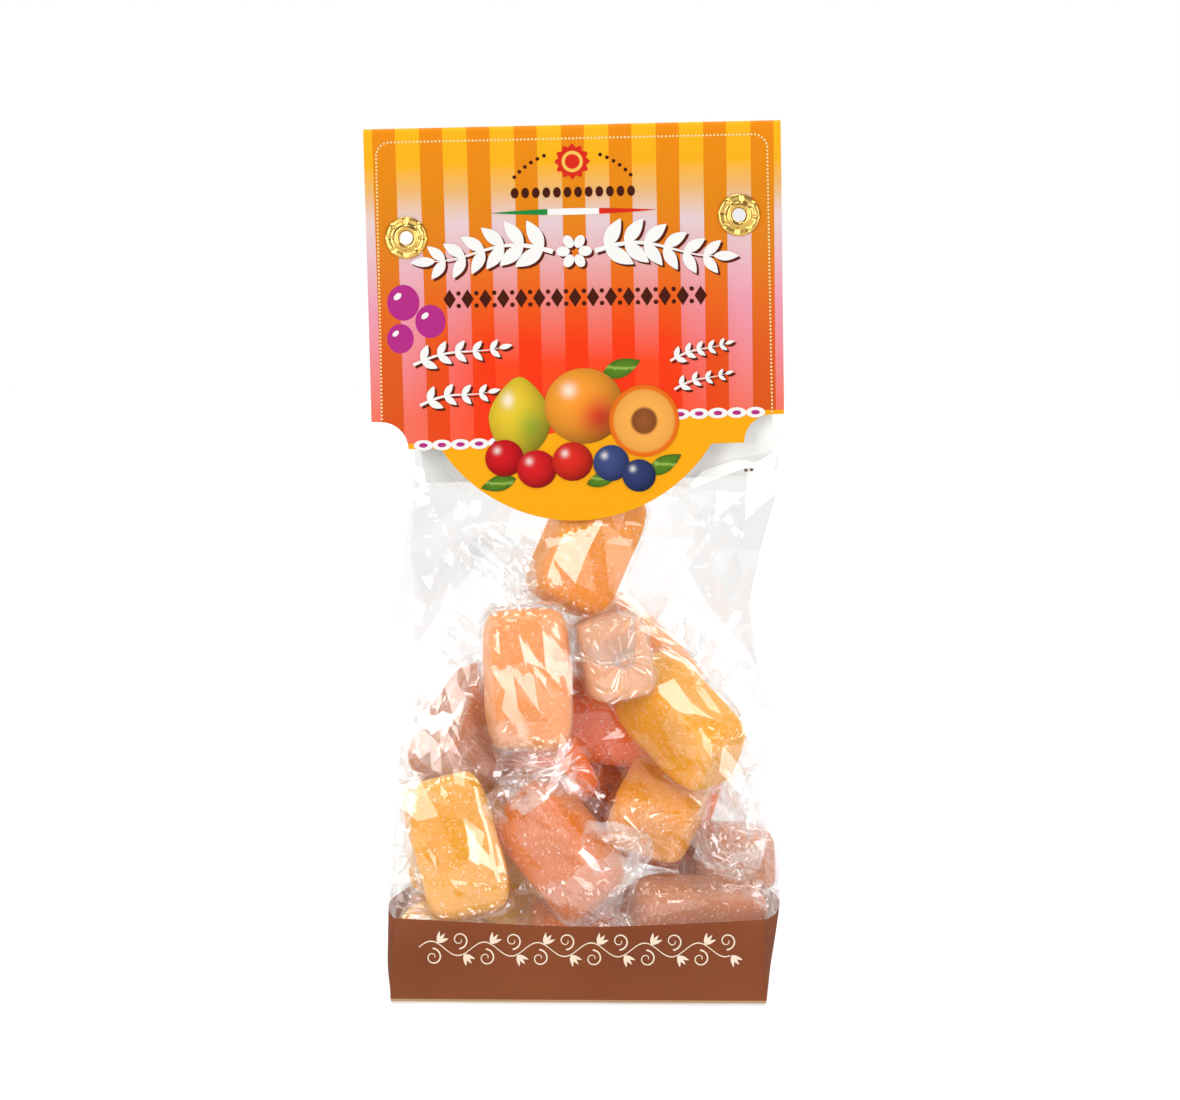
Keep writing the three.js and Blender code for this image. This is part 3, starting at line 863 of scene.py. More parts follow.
FACE_COLUMNS = 128
SIDE_COLUMNS = 64
FOOT_ROWS = 3                   # rows of the film's mesh below the band
BAND_ROWS = 24                  # in the band
TOP_ROWS = 8                    # and inside the header
FILM_ROW = 0.75                 # height of a row between the band and the header
FILM_TOP = 177.5
LOOSE_CELL = (16, 16)           # rows and columns of a flat facet in the loose film
HEAP_CELL = (8, 8)              # where the film lies over the heap
FINE_CELL = (4, 4)              # and of the smallest ones there
SHOWN_TOP = 126.0               # above this the film is hidden inside the header
FILM_CREASE_ANGLE = math.radians(1.2)   # film edges sharper than this show as creases
FLOOR_CLEARANCE = 0.05
WRAPPER_PAD = (1.5, 1.6, 1.6)   # how far a wrapper stands off its sweet under the film
PUSH_MOST = 4.0                 # the heap moves the film no further out than this

# Folds in the front face: x and z of both ends, height (minus is a valley) and half width.
FRONT_FOLDS = (
    (-37.9, 26.4, 0.5, 23.9, 0.5, 0.9),
    (0.5, 23.9, 39.1, 25.4, 0.5, 0.9),
    (-34.0, 110.0, -22.0, 84.0, 0.9, 3.0),
    (-24.0, 108.0, -33.0, 72.0, -0.8, 2.6),
    (-30.0, 98.0, -14.0, 83.0, 0.7, 2.2),
    (36.0, 110.0, 22.7, 92.1, 0.9, 2.4),
    (22.7, 92.1, 30.0, 76.0, 0.9, 2.6),
    (16.7, 108.0, 17.2, 94.0, 0.5, 1.2),
    (34.0, 100.0, 16.0, 112.0, -0.6, 2.4),
    (36.4, 84.0, 24.0, 70.0, 0.8, 2.6),
    (-37.0, 84.0, -20.0, 78.0, 0.7, 2.2),
    (12.0, 96.0, 26.0, 84.0, -0.6, 2.0),
)


def fold_height(x, z):
    """The front folds' height: a sharp ridge or valley along each line."""
    total = np.zeros_like(x)
    for x0, z0, x1, z1, height, half in FRONT_FOLDS:
        along = np.array((x1 - x0, z1 - z0))
        length = np.hypot(*along)
        along = along / length
        t = (x - x0) * along[0] + (z - z0) * along[1]
        away = np.abs((x - x0) * along[1] - (z - z0) * along[0])
        ends = np.clip(np.minimum(t, length - t) / 4.0 + 0.3, 0, 1)
        total += height * ends * np.clip(1 - away / half, 0, 1)
    return total


def sweet_push(points, outwards, sweets):
    """How far each film point has to move outwards to lie over the sweets' wrappers."""
    push = np.zeros(points.shape[:-1])
    for sweet in sweets:
        half = sweet.half + WRAPPER_PAD
        p = sweet.local(points) / half
        d = (outwards @ sweet.axes.T) / half
        a, b, c = (d * d).sum(-1), (p * d).sum(-1), (p * p).sum(-1) - 1
        root = b * b - a * c
        exit_at = (-b + np.sqrt(np.maximum(root, 0))) / a
        push = np.maximum(push, np.where((c < 0) & (root > 0), exit_at, 0))
    return np.minimum(push, PUSH_MOST)


def blur(field, times):
    """A field over the film's grid with its steps softened. Columns run round the bag."""
    for _ in range(times):
        field = (np.roll(field, 1, 1) + np.roll(field, -1, 1) + 2 * field) / 4
        inner = (field[:-2] + field[2:] + 2 * field[1:-1]) / 4
        field = np.concatenate((field[:1], inner, field[-1:]))
    return field


def between_panels(points):
    """The film's depths, kept between the header's panels and let out again below them."""
    x, y, z = np.moveaxis(points, -1, 0)
    drop = (x - CARD_MIDDLE_X) * math.sin(CARD_TILT) + (CARD_TOP - z) * math.cos(CARD_TILT)

    def limit(reach, full, end):
        share = np.maximum(0, (drop - FLARE_DROP) / (full - FLARE_DROP))
        return CARD_GAP_HALF + reach * share ** 2 - 0.15 + 1.2 * np.maximum(0, drop - end)

    return np.clip(y, -limit(FLARE_FRONT, FLARE_FULL_DROP, SHOULDER_DROP),
                   limit(FLARE_BACK, BACK_DROP, BACK_DROP))


def film_grid():
    """Each film point's place round the bag (w), its height (z), and how free it is to crumple."""
    spans = ((0, FACE_COLUMNS), (1, SIDE_COLUMNS), (2, FACE_COLUMNS), (3, SIDE_COLUMNS))
    columns = np.concatenate([np.linspace(side, side + 1, steps, endpoint=False)
                              for side, steps in spans])[None]
    on_front = np.clip(1 - np.abs(2 * columns - 1) ** 2, 0, 1) * (columns < 1)
    band_edge = BAND_TOP - BAND_DIP * on_front + 0.15 * np.sin(columns * 9)
    film_count = round((SHOWN_TOP - BAND_TOP) / FILM_ROW)
    foot_rows = np.linspace(0, 1, FOOT_ROWS)[:, None] * BAND_FOOT + 0 * columns
    band_rows = lerp(BAND_FOOT, band_edge, np.linspace(0, 1, BAND_ROWS + 1)[1:, None])
    film_rows = lerp(band_edge, SHOWN_TOP, np.linspace(0, 1, film_count)[1:, None])
    top_rows = np.linspace(SHOWN_TOP, FILM_TOP, TOP_ROWS + 1)[1:, None] + 0 * columns
    z = np.concatenate((foot_rows, band_rows, film_rows, top_rows))
    w = columns + 0 * z
    free = smoothstep(z, BAND_TOP + 1, BAND_TOP + 8) * (1 - smoothstep(z, 112, 122))

    # The facets' nodes are moved about, but not off the corner creases.
    off_corner = np.clip(4 * (0.5 - np.abs(w % 1 - 0.5)), 0, 1)
    cell = LOOSE_CELL[1] / FACE_COLUMNS
    w = w + 0.3 * cell * off_corner * free * creases(81, *z.shape, *LOOSE_CELL)
    z = z + 0.3 * LOOSE_CELL[0] * FILM_ROW * free * creases(82, *z.shape, *LOOSE_CELL)
    return w, z, free


def build_film(sweets, clear, ink):
    """The film bag as one crumpled skin, cut at the band's edges into film and band."""
    w, z, free = film_grid()
    rows, count = z.shape
    points = bag_surface(w, z)
    side = np.floor(w).astype(int)
    round_way = np.roll(points, -1, 1) - np.roll(points, 1, 1)
    outwards = unit(np.cross(round_way, np.gradient(points, axis=0)))
    facing = np.array(((0, -1, 0), (1, 0, 0), (0, 1, 0), (-1, 0, 0)), float)[side]

    in_heap = smoothstep(z, 3, 10) * (1 - smoothstep(z, 96, 101))
    push = blur(sweet_push(points, facing, sweets) * in_heap, 5)
    points = points + facing * push[..., None]

    def crumpled(seed, cell, height, fine_cell, fine_height):
        rough = outwards * (height * creases(seed, rows, count, *cell))[..., None]
        fine = outwards * (fine_height * creases(seed + 1, rows, count, *fine_cell))[..., None]
        return between_nodes(points + rough, *cell) + fine

    # Crumples: broad loose facets over the empty top, smaller ones over the heap.
    x = points[..., 0]
    loose = smoothstep(z, 62, 86)
    behind_tab = (side == 0) & (z > 99)
    free = free * np.where(behind_tab, np.clip(np.abs(x) / 20 - 0.9, 0.05, 1), 1)
    folds = fold_height(x, z) * (side == 0) + 0.6 * fold_height(-x, z) * (side == 2)
    folds = folds * (1 - smoothstep(z, 104, 112))
    broad = crumpled(7, LOOSE_CELL, 1.0, HEAP_CELL, 0.22)
    tight = crumpled(17, HEAP_CELL, 0.5, FINE_CELL, 0.1)
    points = lerp(points, lerp(tight, broad, loose[..., None]), free[..., None])
    points = points + outwards * folds[..., None]
    points[..., 1] = between_panels(points)
    points[..., 2] = np.maximum(points[..., 2], FLOOR_CLEARANCE)

    faces = grid_faces(rows, count, split=True).reshape(2, rows - 1, count, 3)
    first, last = FOOT_ROWS - 1, FOOT_ROWS + BAND_ROWS - 1
    points = np.concatenate((points.reshape(-1, 3), ((0.0, 0.0, FLOOR_CLEARANCE),)))
    base = [(rows * count, (i + 1) % count, i) for i in range(count)]
    film_faces = np.concatenate((faces[:, :first].reshape(-1, 3), faces[:, last:].reshape(-1, 3),
                                 base))
    film = make_mesh("film_bag", *used_part(points, film_faces), clear, "film")
    printed = make_mesh("printed_band", *used_part(points, faces[:, first:last]), ink, "band")
    for piece in (film, printed):
        piece.data.set_sharp_from_angle(angle=FILM_CREASE_ANGLE)
        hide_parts("bag")
    return film, printed

# ---------------------------------------------------------------- print on the header card

def card_point(u, drop, lift=0.05):
    """A point of the card's printed front, u across and drop down from the fold."""
    u, drop = np.asarray(u, float), np.asarray(drop, float)
    share = np.maximum(0, (drop - FLARE_DROP) / (FLARE_FULL_DROP - FLARE_DROP))
    y = -(CARD_GAP_HALF + CARD_THICKNESS + FLARE_FRONT * share ** 2) - lift
    x = CARD_MIDDLE_X + u * math.cos(CARD_TILT) + drop * math.sin(CARD_TILT)
    z = CARD_TOP + u * math.sin(CARD_TILT) - drop * math.cos(CARD_TILT)
    return np.stack(np.broadcast_arrays(x, y, z), axis=-1)


LIFT_STEP = 0.0004              # so much higher lies each shape of a print than the one before


def printed_shapes(name, shapes, material, lift, surface=card_point, slot="card"):
    """Flat printed shapes, each a closed outline of (u, drop) pairs on the surface."""
    points, faces = [], []
    for number, outline in enumerate(shapes):
        start = len(points)
        outline = np.asarray(outline, float)
        points.extend(surface(outline[:, 0], outline[:, 1], lift + number * LIFT_STEP))
        faces.append(range(start, start + len(outline))[::-1])
    return make_mesh(name, points, faces, material, slot, smooth=False)


def oval(u, drop, half_u, half_drop, steps=20, turn=0.0):
    angle = round_angles(steps)
    rim = np.stack((half_u * np.cos(angle), half_drop * np.sin(angle)), axis=-1)
    return place_outline(rim, u, drop, turn)


def place_outline(outline, u, drop, turn=0.0):
    c, s = math.cos(turn), math.sin(turn)
    return np.asarray(outline, float) @ np.array(((c, s), (-s, c))) + np.array((u, drop))


def leaf_outline(u, drop, length, width, turn, steps=12):
    """A pointed leaf that starts at (u, drop) and grows along turn."""
    t = np.linspace(0, 1, steps)
    bulge = width / 2 * np.sin(math.pi * t) ** 0.8 * (1.15 - 0.4 * t)
    upper = np.stack((t * length, -bulge), axis=-1)
    lower = np.stack((t * length, bulge), axis=-1)[::-1][1:-1]
    return place_outline(np.concatenate((upper, lower)), u, drop, turn)


def stroke(path, thickness):
    """A line along a path, in short pieces. thickness has one value for each point."""
    way = unit(np.gradient(path, axis=0))
    side = np.stack((-way[:, 1], way[:, 0]), axis=-1) * thickness[:, None] / 2
    low, high = path - side, path + side
    return [(low[i], low[i + 1], high[i + 1], high[i]) for i in range(len(path) - 1)]


def branch(length, sway, leaf, pairs, thickness):
    """A swaying stem that starts at (0, 0) and grows along u, with leaves in pairs."""
    t = np.linspace(0, 1, 25)
    path = np.stack((t * length, -sway * np.sin(t * math.pi * 1.5)), axis=-1)
    shapes = stroke(path, thickness * (1.2 - t))
    way = unit(np.gradient(path, axis=0))

    def heading(at):
        return math.atan2(np.interp(at, t, way[:, 1]), np.interp(at, t, way[:, 0]))

    for k in range(pairs):
        at = (k + 0.5) / pairs
        place = [np.interp(at, t, line) for line in path.T]
        size = leaf * (1 - 0.35 * at)
        for lean in (-0.8, 0.8):
            shapes.append(leaf_outline(*place, size, size * 0.46, heading(at) + lean))
    shapes.append(leaf_outline(*path[-1], leaf * 0.75, leaf * 0.3, heading(1.0)))
    return shapes


def curl(u, drop, radius, turn, way, thickness, turns=1.3):
    """A spiral that winds inwards from its outer end, as a thin stroke."""
    t = np.linspace(0, 1, 30)
    angle = turn + way * t * turns * 2 * math.pi
    reach = radius * (1 - 0.8 * t)
    path = np.stack((u + reach * np.cos(angle), drop + reach * np.sin(angle)), axis=-1)
    return stroke(path, thickness * (1.2 - 0.7 * t))


def blossom(u, drop, size):
    """Six round petals round a gap."""
    return [oval(u + size * math.cos(a), drop + size * math.sin(a),
                 size * 0.62, size * 0.46, 14, a) for a in round_angles(6)]


def field_edge(u):
    """The upper edge of the yellow field, which the chain of ovals follows across the card."""
    return FIELD_MIDDLE - FIELD_CLIMB * np.tanh(u / FIELD_TURN)


def build_border(cream):
    """Dotted line inside the card's edges, with round upper corners."""
    left, right, top, low = -42.6, 42.3, 3.0, 63.0
    corner, pitch, size = 3.0, 0.8, 0.25
    arc = np.linspace(0, math.pi / 2, 24)
    inwards, upwards = corner * (1 - np.cos(arc)), corner * (1 - np.sin(arc))
    path = np.concatenate((
        ((left, low), (left, top + corner)),
        np.stack((left + inwards, top + upwards), axis=-1),
        np.stack((right - upwards, top + inwards), axis=-1),
        ((right, top + corner), (right, low))))
    travel = travel_along(path)
    stops = np.linspace(0, travel[-1], int(travel[-1] / pitch))
    places = zip(*(np.interp(stops, travel, line) for line in path.T))
    printed_shapes("border_dots", [oval(*place, size, size, 8) for place in places], cream, 0.04)


def within_notches(outline):
    """An outline cut off where the card's hollow lower corners begin."""
    u, drop = outline[:, 0] - DIE_MIDDLE_U, outline[:, 1]
    rise = np.clip((SHOULDER_DROP - drop) / NOTCH_RADIUS, 0, 1)
    half = np.where(drop > SHOULDER_DROP - NOTCH_RADIUS,
                    LIP_HALF - NOTCH_RADIUS * np.sqrt(1 - rise ** 2), CARD_HALF_TOP) - 0.1
    return np.stack((DIE_MIDDLE_U + np.clip(u, -half, half), drop), axis=-1)


def build_chain(white, purple):
    """Linked ovals along the top of the yellow field, hidden behind the fruit in the middle."""
    us = np.concatenate((np.arange(-33.65, -14, 4.05), np.arange(18.3, 40, 4.08)))
    drops = field_edge(us) + 0.4
    outer = [within_notches(oval(u, d, 2.1, 1.15, 24)) for u, d in zip(us, drops)]
    printed_shapes("chain_ovals", outer, white, 0.05)
    inner = [within_notches(oval(u, d, 0.95, 0.5, 16)) for u, d in zip(us, drops)]
    printed_shapes("chain_eyes", inner, purple, 0.08)


def build_garlands(white, shadow):
    """White leafy branches with a dark shadow, where a header carries its words."""
    # Start (u, drop), outlines, way (minus grows to the left) and turn of each branch.
    branches = [(way * 4.6, 27.4, branch(25.6, 1.6, 7.4, 6, 0.9), way, 0.0) for way in (-1, 1)]
    branches += [
        (-35.5, 51.4, branch(19.0, 0.8, 4.0, 5, 0.55), 1, -0.22),
        (-34.2, 60.2, branch(15.0, 0.7, 3.8, 4, 0.55), 1, -0.22),
        (20.4, 51.6, branch(12.5, 0.5, 2.8, 5, 0.4), 1, -0.32),
        (21.2, 57.8, branch(11.5, 0.5, 2.6, 4, 0.4), 1, -0.32),
    ]
    for shift, lift, look, name in ((0.5, 0.04, shadow, "garland_shadows"),
                                    (0.0, 0.12, white, "garlands")):
        shapes = [outline + shift for outline in blossom(0.0, 27.4, 2.4)]
        for u, drop, outlines, way, turn in branches:
            for outline in outlines:
                outline = (np.asarray(outline) * (way, 1))[::way]
                shapes.append(place_outline(outline, u + shift, drop + shift, turn))
        printed_shapes(name, shapes, look, lift)


def build_lozenges(brown):
    """A row of lozenges with a pair of dots between each two."""
    pitch, drop = 3.9, 37.4
    shapes = []
    for i in range(-7, 8):
        rim = ((-1.35, 0.0), (0.0, -2.1), (1.35, 0.0), (0.0, 2.1))
        shapes.append(place_outline(rim, i * pitch, drop + 0.02 * i))
    for i in range(14):
        for way in (-1, 1):
            shapes.append(oval((i - 6.5) * pitch, drop + way * 1.35, 0.5, 0.5, 14))
    printed_shapes("lozenge_row", shapes, brown, 0.05)


def front_of(piece):
    """A surface for printed_shapes(): the piece's front, at places given as x and z."""
    mesh = piece.data
    tree = BVHTree.FromPolygons([v.co for v in mesh.vertices], [p.vertices for p in mesh.polygons])

    def surface(x, z, lift):
        points = []
        for px, pz in zip(x, z):
            hit = tree.ray_cast(Vector((px * MM, -0.1, pz * MM)), Vector((0, 1, 0)))[0]
            points.append((px, hit.y / MM - lift, pz))
        return points

    return surface


SCROLL_MIDDLE = 12.2            # height of the ornament's stem on the band
FILM_DOTS = ((35.6, 113.4), (36.8, 113.5))  # two register dots on the film, under the header


def build_dots(brown, film):
    dots = printed_shapes("film_dots", [oval(x, z, 0.42, 0.36, 12)[::-1] for x, z in FILM_DOTS],
                          brown, 0.06, front_of(film), "band")
    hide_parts("bag")


def build_scroll(cream, band):
    """A thin cream scroll with leaves on the band's front, lying on the film's folds."""
    middle, sway = SCROLL_MIDDLE, 1.5
    wave = 11.4
    shapes = []
    us = np.linspace(-34.0, 32.4, 240)
    path = np.stack((us, middle + sway * np.sin(2 * math.pi * us / wave)), axis=-1)
    for a, b in zip(path, path[1:]):
        half = (0.0, 0.13)
        shapes.append((a - half, b - half, b + half, a + half))
    for k in range(12):
        u = -31.4 + k * wave / 2
        crest = math.copysign(1.0, math.sin(2 * math.pi * u / wave))
        shapes += curl(u + 0.4, middle - crest * 1.9, 1.9, crest * math.pi / 2, -crest, 0.3)
        for lean in (-0.5, 0.0, 0.5):
            shapes.append(leaf_outline(u + 1.4, middle + crest * 1.2, 2.6, 0.75,
                                       crest * (0.9 + lean)))
    shapes = [np.asarray(outline)[::-1] for outline in shapes]
    scroll = printed_shapes("band_scroll", shapes, cream, 0.06, front_of(band), "band")
    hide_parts("bag")


def build_crest(red, green, white, brown, gold):
    """A scalloped rosette over a row of beads and a tapering three-colour line."""
    rosette_drop = 8.0
    arch, arch_middle = 17, 22.5
    line_half, line_part, line_drop = 18.0, 5.6, 18.8
    angle = round_angles(96)
    radius = 3.5 + 0.35 * np.cos(angle * 12)
    rosette = np.stack((radius * np.cos(angle), rosette_drop + radius * np.sin(angle)), axis=-1)
    printed_shapes("rosette", [rosette], red, 0.05)
    printed_shapes("rosette_ring", [oval(0.0, rosette_drop, 2.3, 2.3, 32)], gold, 0.07)
    printed_shapes("rosette_heart", [oval(0.0, rosette_drop, 1.6, 1.6, 32)], red, 0.09)
    beads = []
    for i in range(6):
        lean = math.radians(21 + 5.4 * i)
        for way in (-1, 1):
            beads.append(oval(way * arch * math.sin(lean), arch_middle - arch * math.cos(lean),
                              0.42, 0.42, 12))
    beads += [oval(2.3 * (i - 5.5), 14.6, 0.85, 1.15, 14) for i in range(12)]
    printed_shapes("beads", beads, brown, 0.05)

    def taper(u):
        return 0.68 * (1 - (u / line_half) ** 2) + 0.02

    for name, low, high, look in (("line_green", -line_half, -line_part, green),
                                  ("line_white", -line_part, line_part, white),
                                  ("line_red", line_part, line_half, red)):
        us = np.linspace(low, high, 8)
        upper = [(u, line_drop - taper(u)) for u in us]
        lower = [(u, line_drop + taper(u)) for u in us[::-1]]
        printed_shapes(name, [upper + lower], look, 0.05)


def shaded_disc(outline, paint, rings=12):
    """Points and colours of a filled outline. paint gives a colour from place and rim share."""
    middle = outline.mean(axis=0)
    shares = np.linspace(0, 1, rings + 1)[1:, None, None]
    grid = middle + (outline - middle)[None] * shares
    flat = np.concatenate((middle[None], grid.reshape(-1, 2)))
    rim = np.concatenate(((0.0,), np.repeat(shares.ravel(), len(outline))))
    span = np.abs(outline - middle).max(axis=0)
    colours = paint((flat - middle) / span, rim)
    count = len(outline)
    faces = [(0, 1 + (i + 1) % count, 1 + i) for i in range(count)]
    faces += [tuple(f) for f in grid_faces(rings, count) + 1]
    return flat, np.clip(colours, 0, 1) * INK, faces


def ball_paint(rgb, blush=None, blush_at=(0.4, 0.3)):
    """Paint of a round fruit lit from the upper left, with an optional blush."""
    base = np.array(linear(rgb))

    def paint(place, rim):
        light = 1.0 - 0.45 * rim ** 2 + 0.18 * (-place[:, 0] - place[:, 1])
        colour = base * light[:, None]
        if blush is not None:
            near = np.exp(-((place - np.array(blush_at)) ** 2).sum(-1) / 0.25)
            colour = lerp(colour, np.array(linear(blush)) * light[:, None], near[:, None])
        glint = np.exp(-((place - np.array((-0.38, -0.42))) ** 2).sum(-1) / 0.03)
        return lerp(colour, np.array((1.0, 0.97, 0.9)), 0.75 * glint[:, None])

    return paint


def half_fruit_paint(rim_rgb, flesh_rgb, stone_rgb):
    """Paint of a cut stone fruit: skin, flesh and a stone."""
    skin, flesh, stone = (np.array(linear(c)) for c in (rim_rgb, flesh_rgb, stone_rgb))

    def paint(place, rim):
        away = np.hypot(place[:, 0], place[:, 1] * 0.9)
        colour = np.where(rim[:, None] > 0.9, skin, flesh * (1 - 0.2 * rim[:, None] ** 2))
        return np.where(away[:, None] < 0.34, stone * (1.1 - away[:, None]), colour)

    return paint


def leaf_paint(place, rim):
    base = np.array(linear((86, 128, 34)))
    vein = np.abs(place[:, 1] - 0.1 * place[:, 0]) < 0.12
    colour = base * (1.15 - 0.5 * rim[:, None] ** 2)
    return np.where(vein[:, None], np.array(linear((150, 180, 80))), colour)


def pear_outline(u, drop, half, tall):
    angle = round_angles(40)
    pinch = 1 - 0.42 * np.clip(-np.sin(angle), 0, 1) ** 1.5
    return np.stack((u + half * pinch * np.cos(angle), drop + tall * np.sin(angle)), axis=-1)


def build_fruit():
    """A plain cluster of drawn fruit over the round tab."""
    paint = painted_material("fruit_print")
    items = (
        ("leaf_a", leaf_outline(5.5, 54.5, 9.0, 4.2, -0.35), leaf_paint),
        ("leaf_b", leaf_outline(-13.5, 76.5, 8.0, 3.6, 2.9), leaf_paint),
        ("leaf_c", leaf_outline(15.0, 76.0, 8.5, 3.8, -0.5), leaf_paint),
        ("pear", pear_outline(-12.5, 63.0, 6.8, 8.6), ball_paint((236, 200, 50), (170, 180, 50))),
        ("peach", oval(1.5, 61.0, 8.6, 8.2, 40), ball_paint((250, 160, 50), (226, 70, 40))),
        ("apricot_half", oval(14.5, 64.5, 7.6, 7.8, 40),
         half_fruit_paint((232, 110, 20), (252, 176, 80), (150, 84, 40))),
        ("cherry_a", oval(-16.0, 72.0, 4.2, 4.0, 32), ball_paint((210, 24, 30))),
        ("cherry_b", oval(-9.0, 74.5, 4.3, 4.1, 32), ball_paint((216, 30, 34))),
        ("cherry_c", oval(-1.2, 73.0, 4.4, 4.2, 32), ball_paint((220, 44, 30))),
        ("leaf_d", leaf_outline(1.8, 78.0, 7.5, 3.2, -0.3), leaf_paint),
        ("plum_a", oval(7.2, 73.5, 3.9, 3.9, 32), ball_paint((62, 76, 128))),
        ("plum_b", oval(13.2, 76.3, 3.6, 3.5, 32), ball_paint((50, 62, 112))),
    )
    for order, (name, outline, look) in enumerate(items):
        flat, colours, faces = shaded_disc(np.asarray(outline), look)
        points = card_point(flat[:, 0], flat[:, 1], 0.10 + 0.02 * order)
        make_mesh("print_" + name, points, faces, paint, "card", colours=colours)


def build_berries(purple, white):
    """Three purple berries at the left edge, each with a pale glint."""
    berries = ((-37.4, 37.8, 3.5, 3.9), (-31.6, 42.0, 3.3, 3.6), (-38.2, 45.6, 2.9, 3.2))
    printed_shapes("berries", [oval(u, d, a, b, 32) for u, d, a, b in berries], purple, 0.05)
    glints = [oval(u - a * 0.35, d - b * 0.35, a * 0.28, b * 0.16, 14, -0.7)
              for u, d, a, b in berries]
    printed_shapes("berry_glints", glints, white, 0.09)


def build_header():
    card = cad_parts["header_card"]
    card.data.materials.clear()
    card.data.materials.append(card_material())
    white = ink_material("ink_white", (250, 248, 244))
    purple = ink_material("ink_purple", (186, 46, 136))
    red = ink_material("ink_red", (222, 44, 26))
    brown = ink_material("ink_brown", (74, 26, 12))
    build_border(ink_material("ink_cream", (253, 226, 160)))
    build_chain(white, purple)
    build_garlands(white, ink_material("ink_shadow", (96, 34, 16)))
    build_lozenges(brown)
    build_crest(red, ink_material("ink_green", (34, 140, 62)), white, brown,
                ink_material("ink_gold", (250, 200, 90)))
    build_fruit()
    build_berries(purple, white)

# ---------------------------------------------------------------- eyelets

def build_eyelets():
    """Stamped brass eyelets: a domed flange with crimped dents, the barrel and the roll behind."""
    brass = brass_material()
    hole, flange, roll = 1.45, 4.6, 3.7
    face = CARD_GAP_HALF + CARD_THICKNESS + 0.02
    # Radius and depth from the card's face to the front, then through the barrel to the back.
    outline = np.array((
        (flange, 0.0), (flange, 0.1), (flange - 0.1, 0.3), (flange - 0.4, 0.48),
        (flange - 0.9, 0.5),
        (flange - 1.3, 0.44), (3.0, 0.5), (2.75, 0.66), (2.5, 0.82), (2.25, 0.9), (2.0, 0.88),
        (1.75, 0.76), (1.55, 0.55), (hole, 0.25), (hole, -0.6), (hole, -1.8), (hole, -2.4),
        (1.7, -2.9), (2.3, -3.1), (3.0, -3.05), (3.5, -2.8), (roll, -2.46)))
    travel = travel_along(outline)
    stops = np.linspace(0, travel[-1], 70)
    radius, height = (np.interp(stops, travel, line)[:, None] for line in outline.T)
    angle = round_angles(144)[None]
    for seed, (name, (x, z)) in enumerate(EYELET_PLACES.items()):
        on_flange = (smoothstep(radius, 2.5, 3.0) * (1 - smoothstep(radius, 4.2, 4.55))
                     * (height > 0.2))
        uneven = 0.35 * ripple(angle / (2 * math.pi) * 8, radius * 0.4, 320 + seed, 8)
        crimps = np.clip(np.cos(angle * 8 + seed + uneven), 0, 1) ** 4
        dents = ripple(angle / (2 * math.pi) * 11, radius * 0.9, 300 + seed, 11)
        rise = height - on_flange * (0.16 * crimps + 0.05 * dents)
        points = np.stack((x + radius * np.cos(angle), -face - rise,
                           z + radius * np.sin(angle)), axis=-1)
        faces = grid_faces(*points.shape[:2])
        eyelet = make_mesh("brass_" + name, points, faces, brass, "brass")
        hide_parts(name)

# ---------------------------------------------------------------- stage, lights and camera

CAMERA_TARGET = (1.64, 0.0, 95.85)
CAMERA_DISTANCE = 900.0
CAMERA_AZIMUTH = math.radians(2.0)
CAMERA_ELEVATION = math.radians(3.3)
SENSOR_WIDTH = 36.0
LENS = 125.79


def build_camera():
    data = bpy.data.cameras.new("camera")
    data.sensor_fit = "HORIZONTAL"
    data.sensor_width = SENSOR_WIDTH
    data.lens = LENS
    camera = add_object("camera", data)
    back = Vector((math.sin(CAMERA_AZIMUTH) * math.cos(CAMERA_ELEVATION),
                   -math.cos(CAMERA_AZIMUTH) * math.cos(CAMERA_ELEVATION),
                   math.sin(CAMERA_ELEVATION)))
    camera.location = (Vector(CAMERA_TARGET) + back * CAMERA_DISTANCE) * MM
    camera.rotation_euler = (-back).to_track_quat("-Z", "Y").to_euler()
    bpy.context.scene.camera = camera


# How bright the room is behind the camera and behind the bag, against 1 for the backdrop.
ROOM_FRONT = 0.16
ROOM_BACK = 1.0
# Softboxes: place and size in metres, and brightness against the backdrop's. A large dim
# screen stands beyond each bright one at the front.
SOFTBOXES = (
    ("softbox_left", (-0.50, -1.04, 0.40), (0.42, 0.80), 6.2),
    ("screen_left", (-0.95, -1.10, 0.25), (0.9, 1.3), 1.3),
    ("softbox_right", (0.68, -0.95, 0.35), (0.34, 0.80), 6.0),
    ("screen_right", (1.05, -0.90, 0.25), (0.8, 1.2), 1.3),
    ("softbox_top", (-0.1, 0.05, 1.1), (0.8, 0.6), 6.0),
    ("softbox_back", (0.3, 0.95, 0.55), (0.6, 0.4), 4.0),
)
LIGHTS_AIM = (0, 0, 0.09)       # the middle of the bag, in metres


def add_light(name, place, size, radiance):
    """A rectangular softbox that looks at the middle of the bag. Places are in metres."""
    data = bpy.data.lights.new(name, "AREA")
    data.shape = "RECTANGLE"
    data.size, data.size_y = size
    data.energy = radiance * math.pi * size[0] * size[1]
    light = add_object(name, data)
    light.location = place
    aim = Vector(LIGHTS_AIM) - Vector(place)
    light.rotation_euler = aim.to_track_quat("-Z", "Y").to_euler()
    light.visible_camera = False


FLOOR_GLOW = 0.90               # keeps the floor as pale as the backdrop near the bag
FLOOR_GLOW_GAIN = 0.1           # and for each metre further out, where less light falls on it
FLOOR_GLOW_MOST = 0.985
FLOOR_REACH = 6.0               # radius of the floor in metres
FLOOR_STEPS = 64


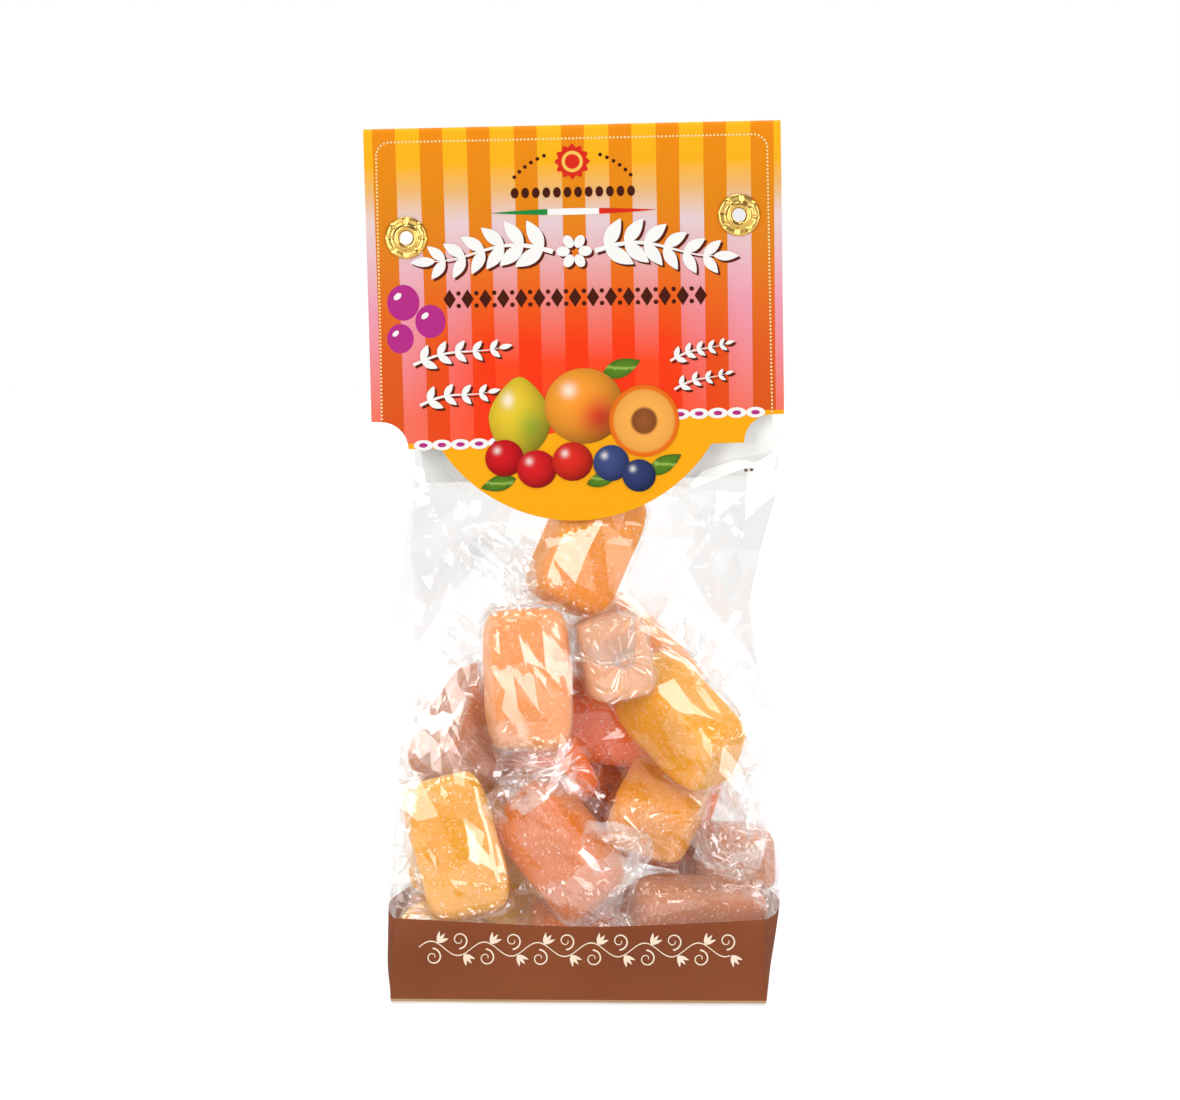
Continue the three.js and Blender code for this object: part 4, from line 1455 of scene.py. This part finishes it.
def build_floor():
    s = Shader("pale_floor")
    colour = s.mix(s.noise(8.0, 2.0), (0.10, 0.10, 0.10), (0.09, 0.09, 0.09))
    away = s.vector_math("LENGTH", s.place(), out="Value")
    glow = s.math("MULTIPLY_ADD", away, FLOOR_GLOW_GAIN, FLOOR_GLOW)
    look = s.principled(colour, 0.8, Emission_Color=WHITE,
                        Emission_Strength=s.math("MINIMUM", glow, FLOOR_GLOW_MOST))
    mesh = bpy.data.meshes.new("floor")
    ring = [(FLOOR_REACH * math.cos(a), FLOOR_REACH * math.sin(a), 0)
            for a in round_angles(FLOOR_STEPS)]
    mesh.from_pydata(ring, [], [range(FLOOR_STEPS)])
    mesh.materials.append(look)
    floor = add_object("floor", mesh)


def build_room():
    """White to the camera, and dim to the object on the camera's side."""
    s = Shader("soft_studio", world=True)
    way = s.axis(s.node("TexCoord", out="Generated"), "Y")
    room = s.node("MapRange", way, -0.5, 0.7, ROOM_FRONT, ROOM_BACK,
                  settings={"interpolation_type": "SMOOTHSTEP"})
    seen = s.node("LightPath", out="Is Camera Ray")
    strength = s.node("MapRange", seen, 0.0, 1.0, room, 1.0)
    bpy.context.scene.world = s.finish(s.node("Background", Color=WHITE, Strength=strength))
    for row in SOFTBOXES:
        add_light(*row)


def set_up_render():
    scene = bpy.context.scene
    scene.view_settings.view_transform = "Standard"
    scene.cycles.transparent_max_bounces = 32
    scene.cycles.max_bounces = 5
    scene.cycles.diffuse_bounces = 2
    scene.cycles.glossy_bounces = 2
    scene.cycles.caustics_reflective = False
    scene.cycles.caustics_refractive = False

# ---------------------------------------------------------------- assembly

build_camera()
film_look = film_material("clear_film", face_on=0.05, edge_on=0.3, veil=0.006,
                          tint=(0.964, 0.964, 0.963), roughness=0.04)
wrap_look = film_material("clear_wrapper", face_on=0.085, edge_on=0.4, veil=0.003,
                          tint=(0.996, 0.996, 0.995), roughness=0.045, sheen=0.05, haze=0.045)
heap = build_sweets(wrap_look)
film_bag, printed_band = build_film(heap, film_look, band_material())
build_header()
build_scroll(ink_material("ink_pale", (236, 214, 190), 0.9), printed_band)
build_dots(ink_material("ink_dots", (120, 84, 66)), film_bag)
build_eyelets()
build_floor()
build_room()
set_up_render()
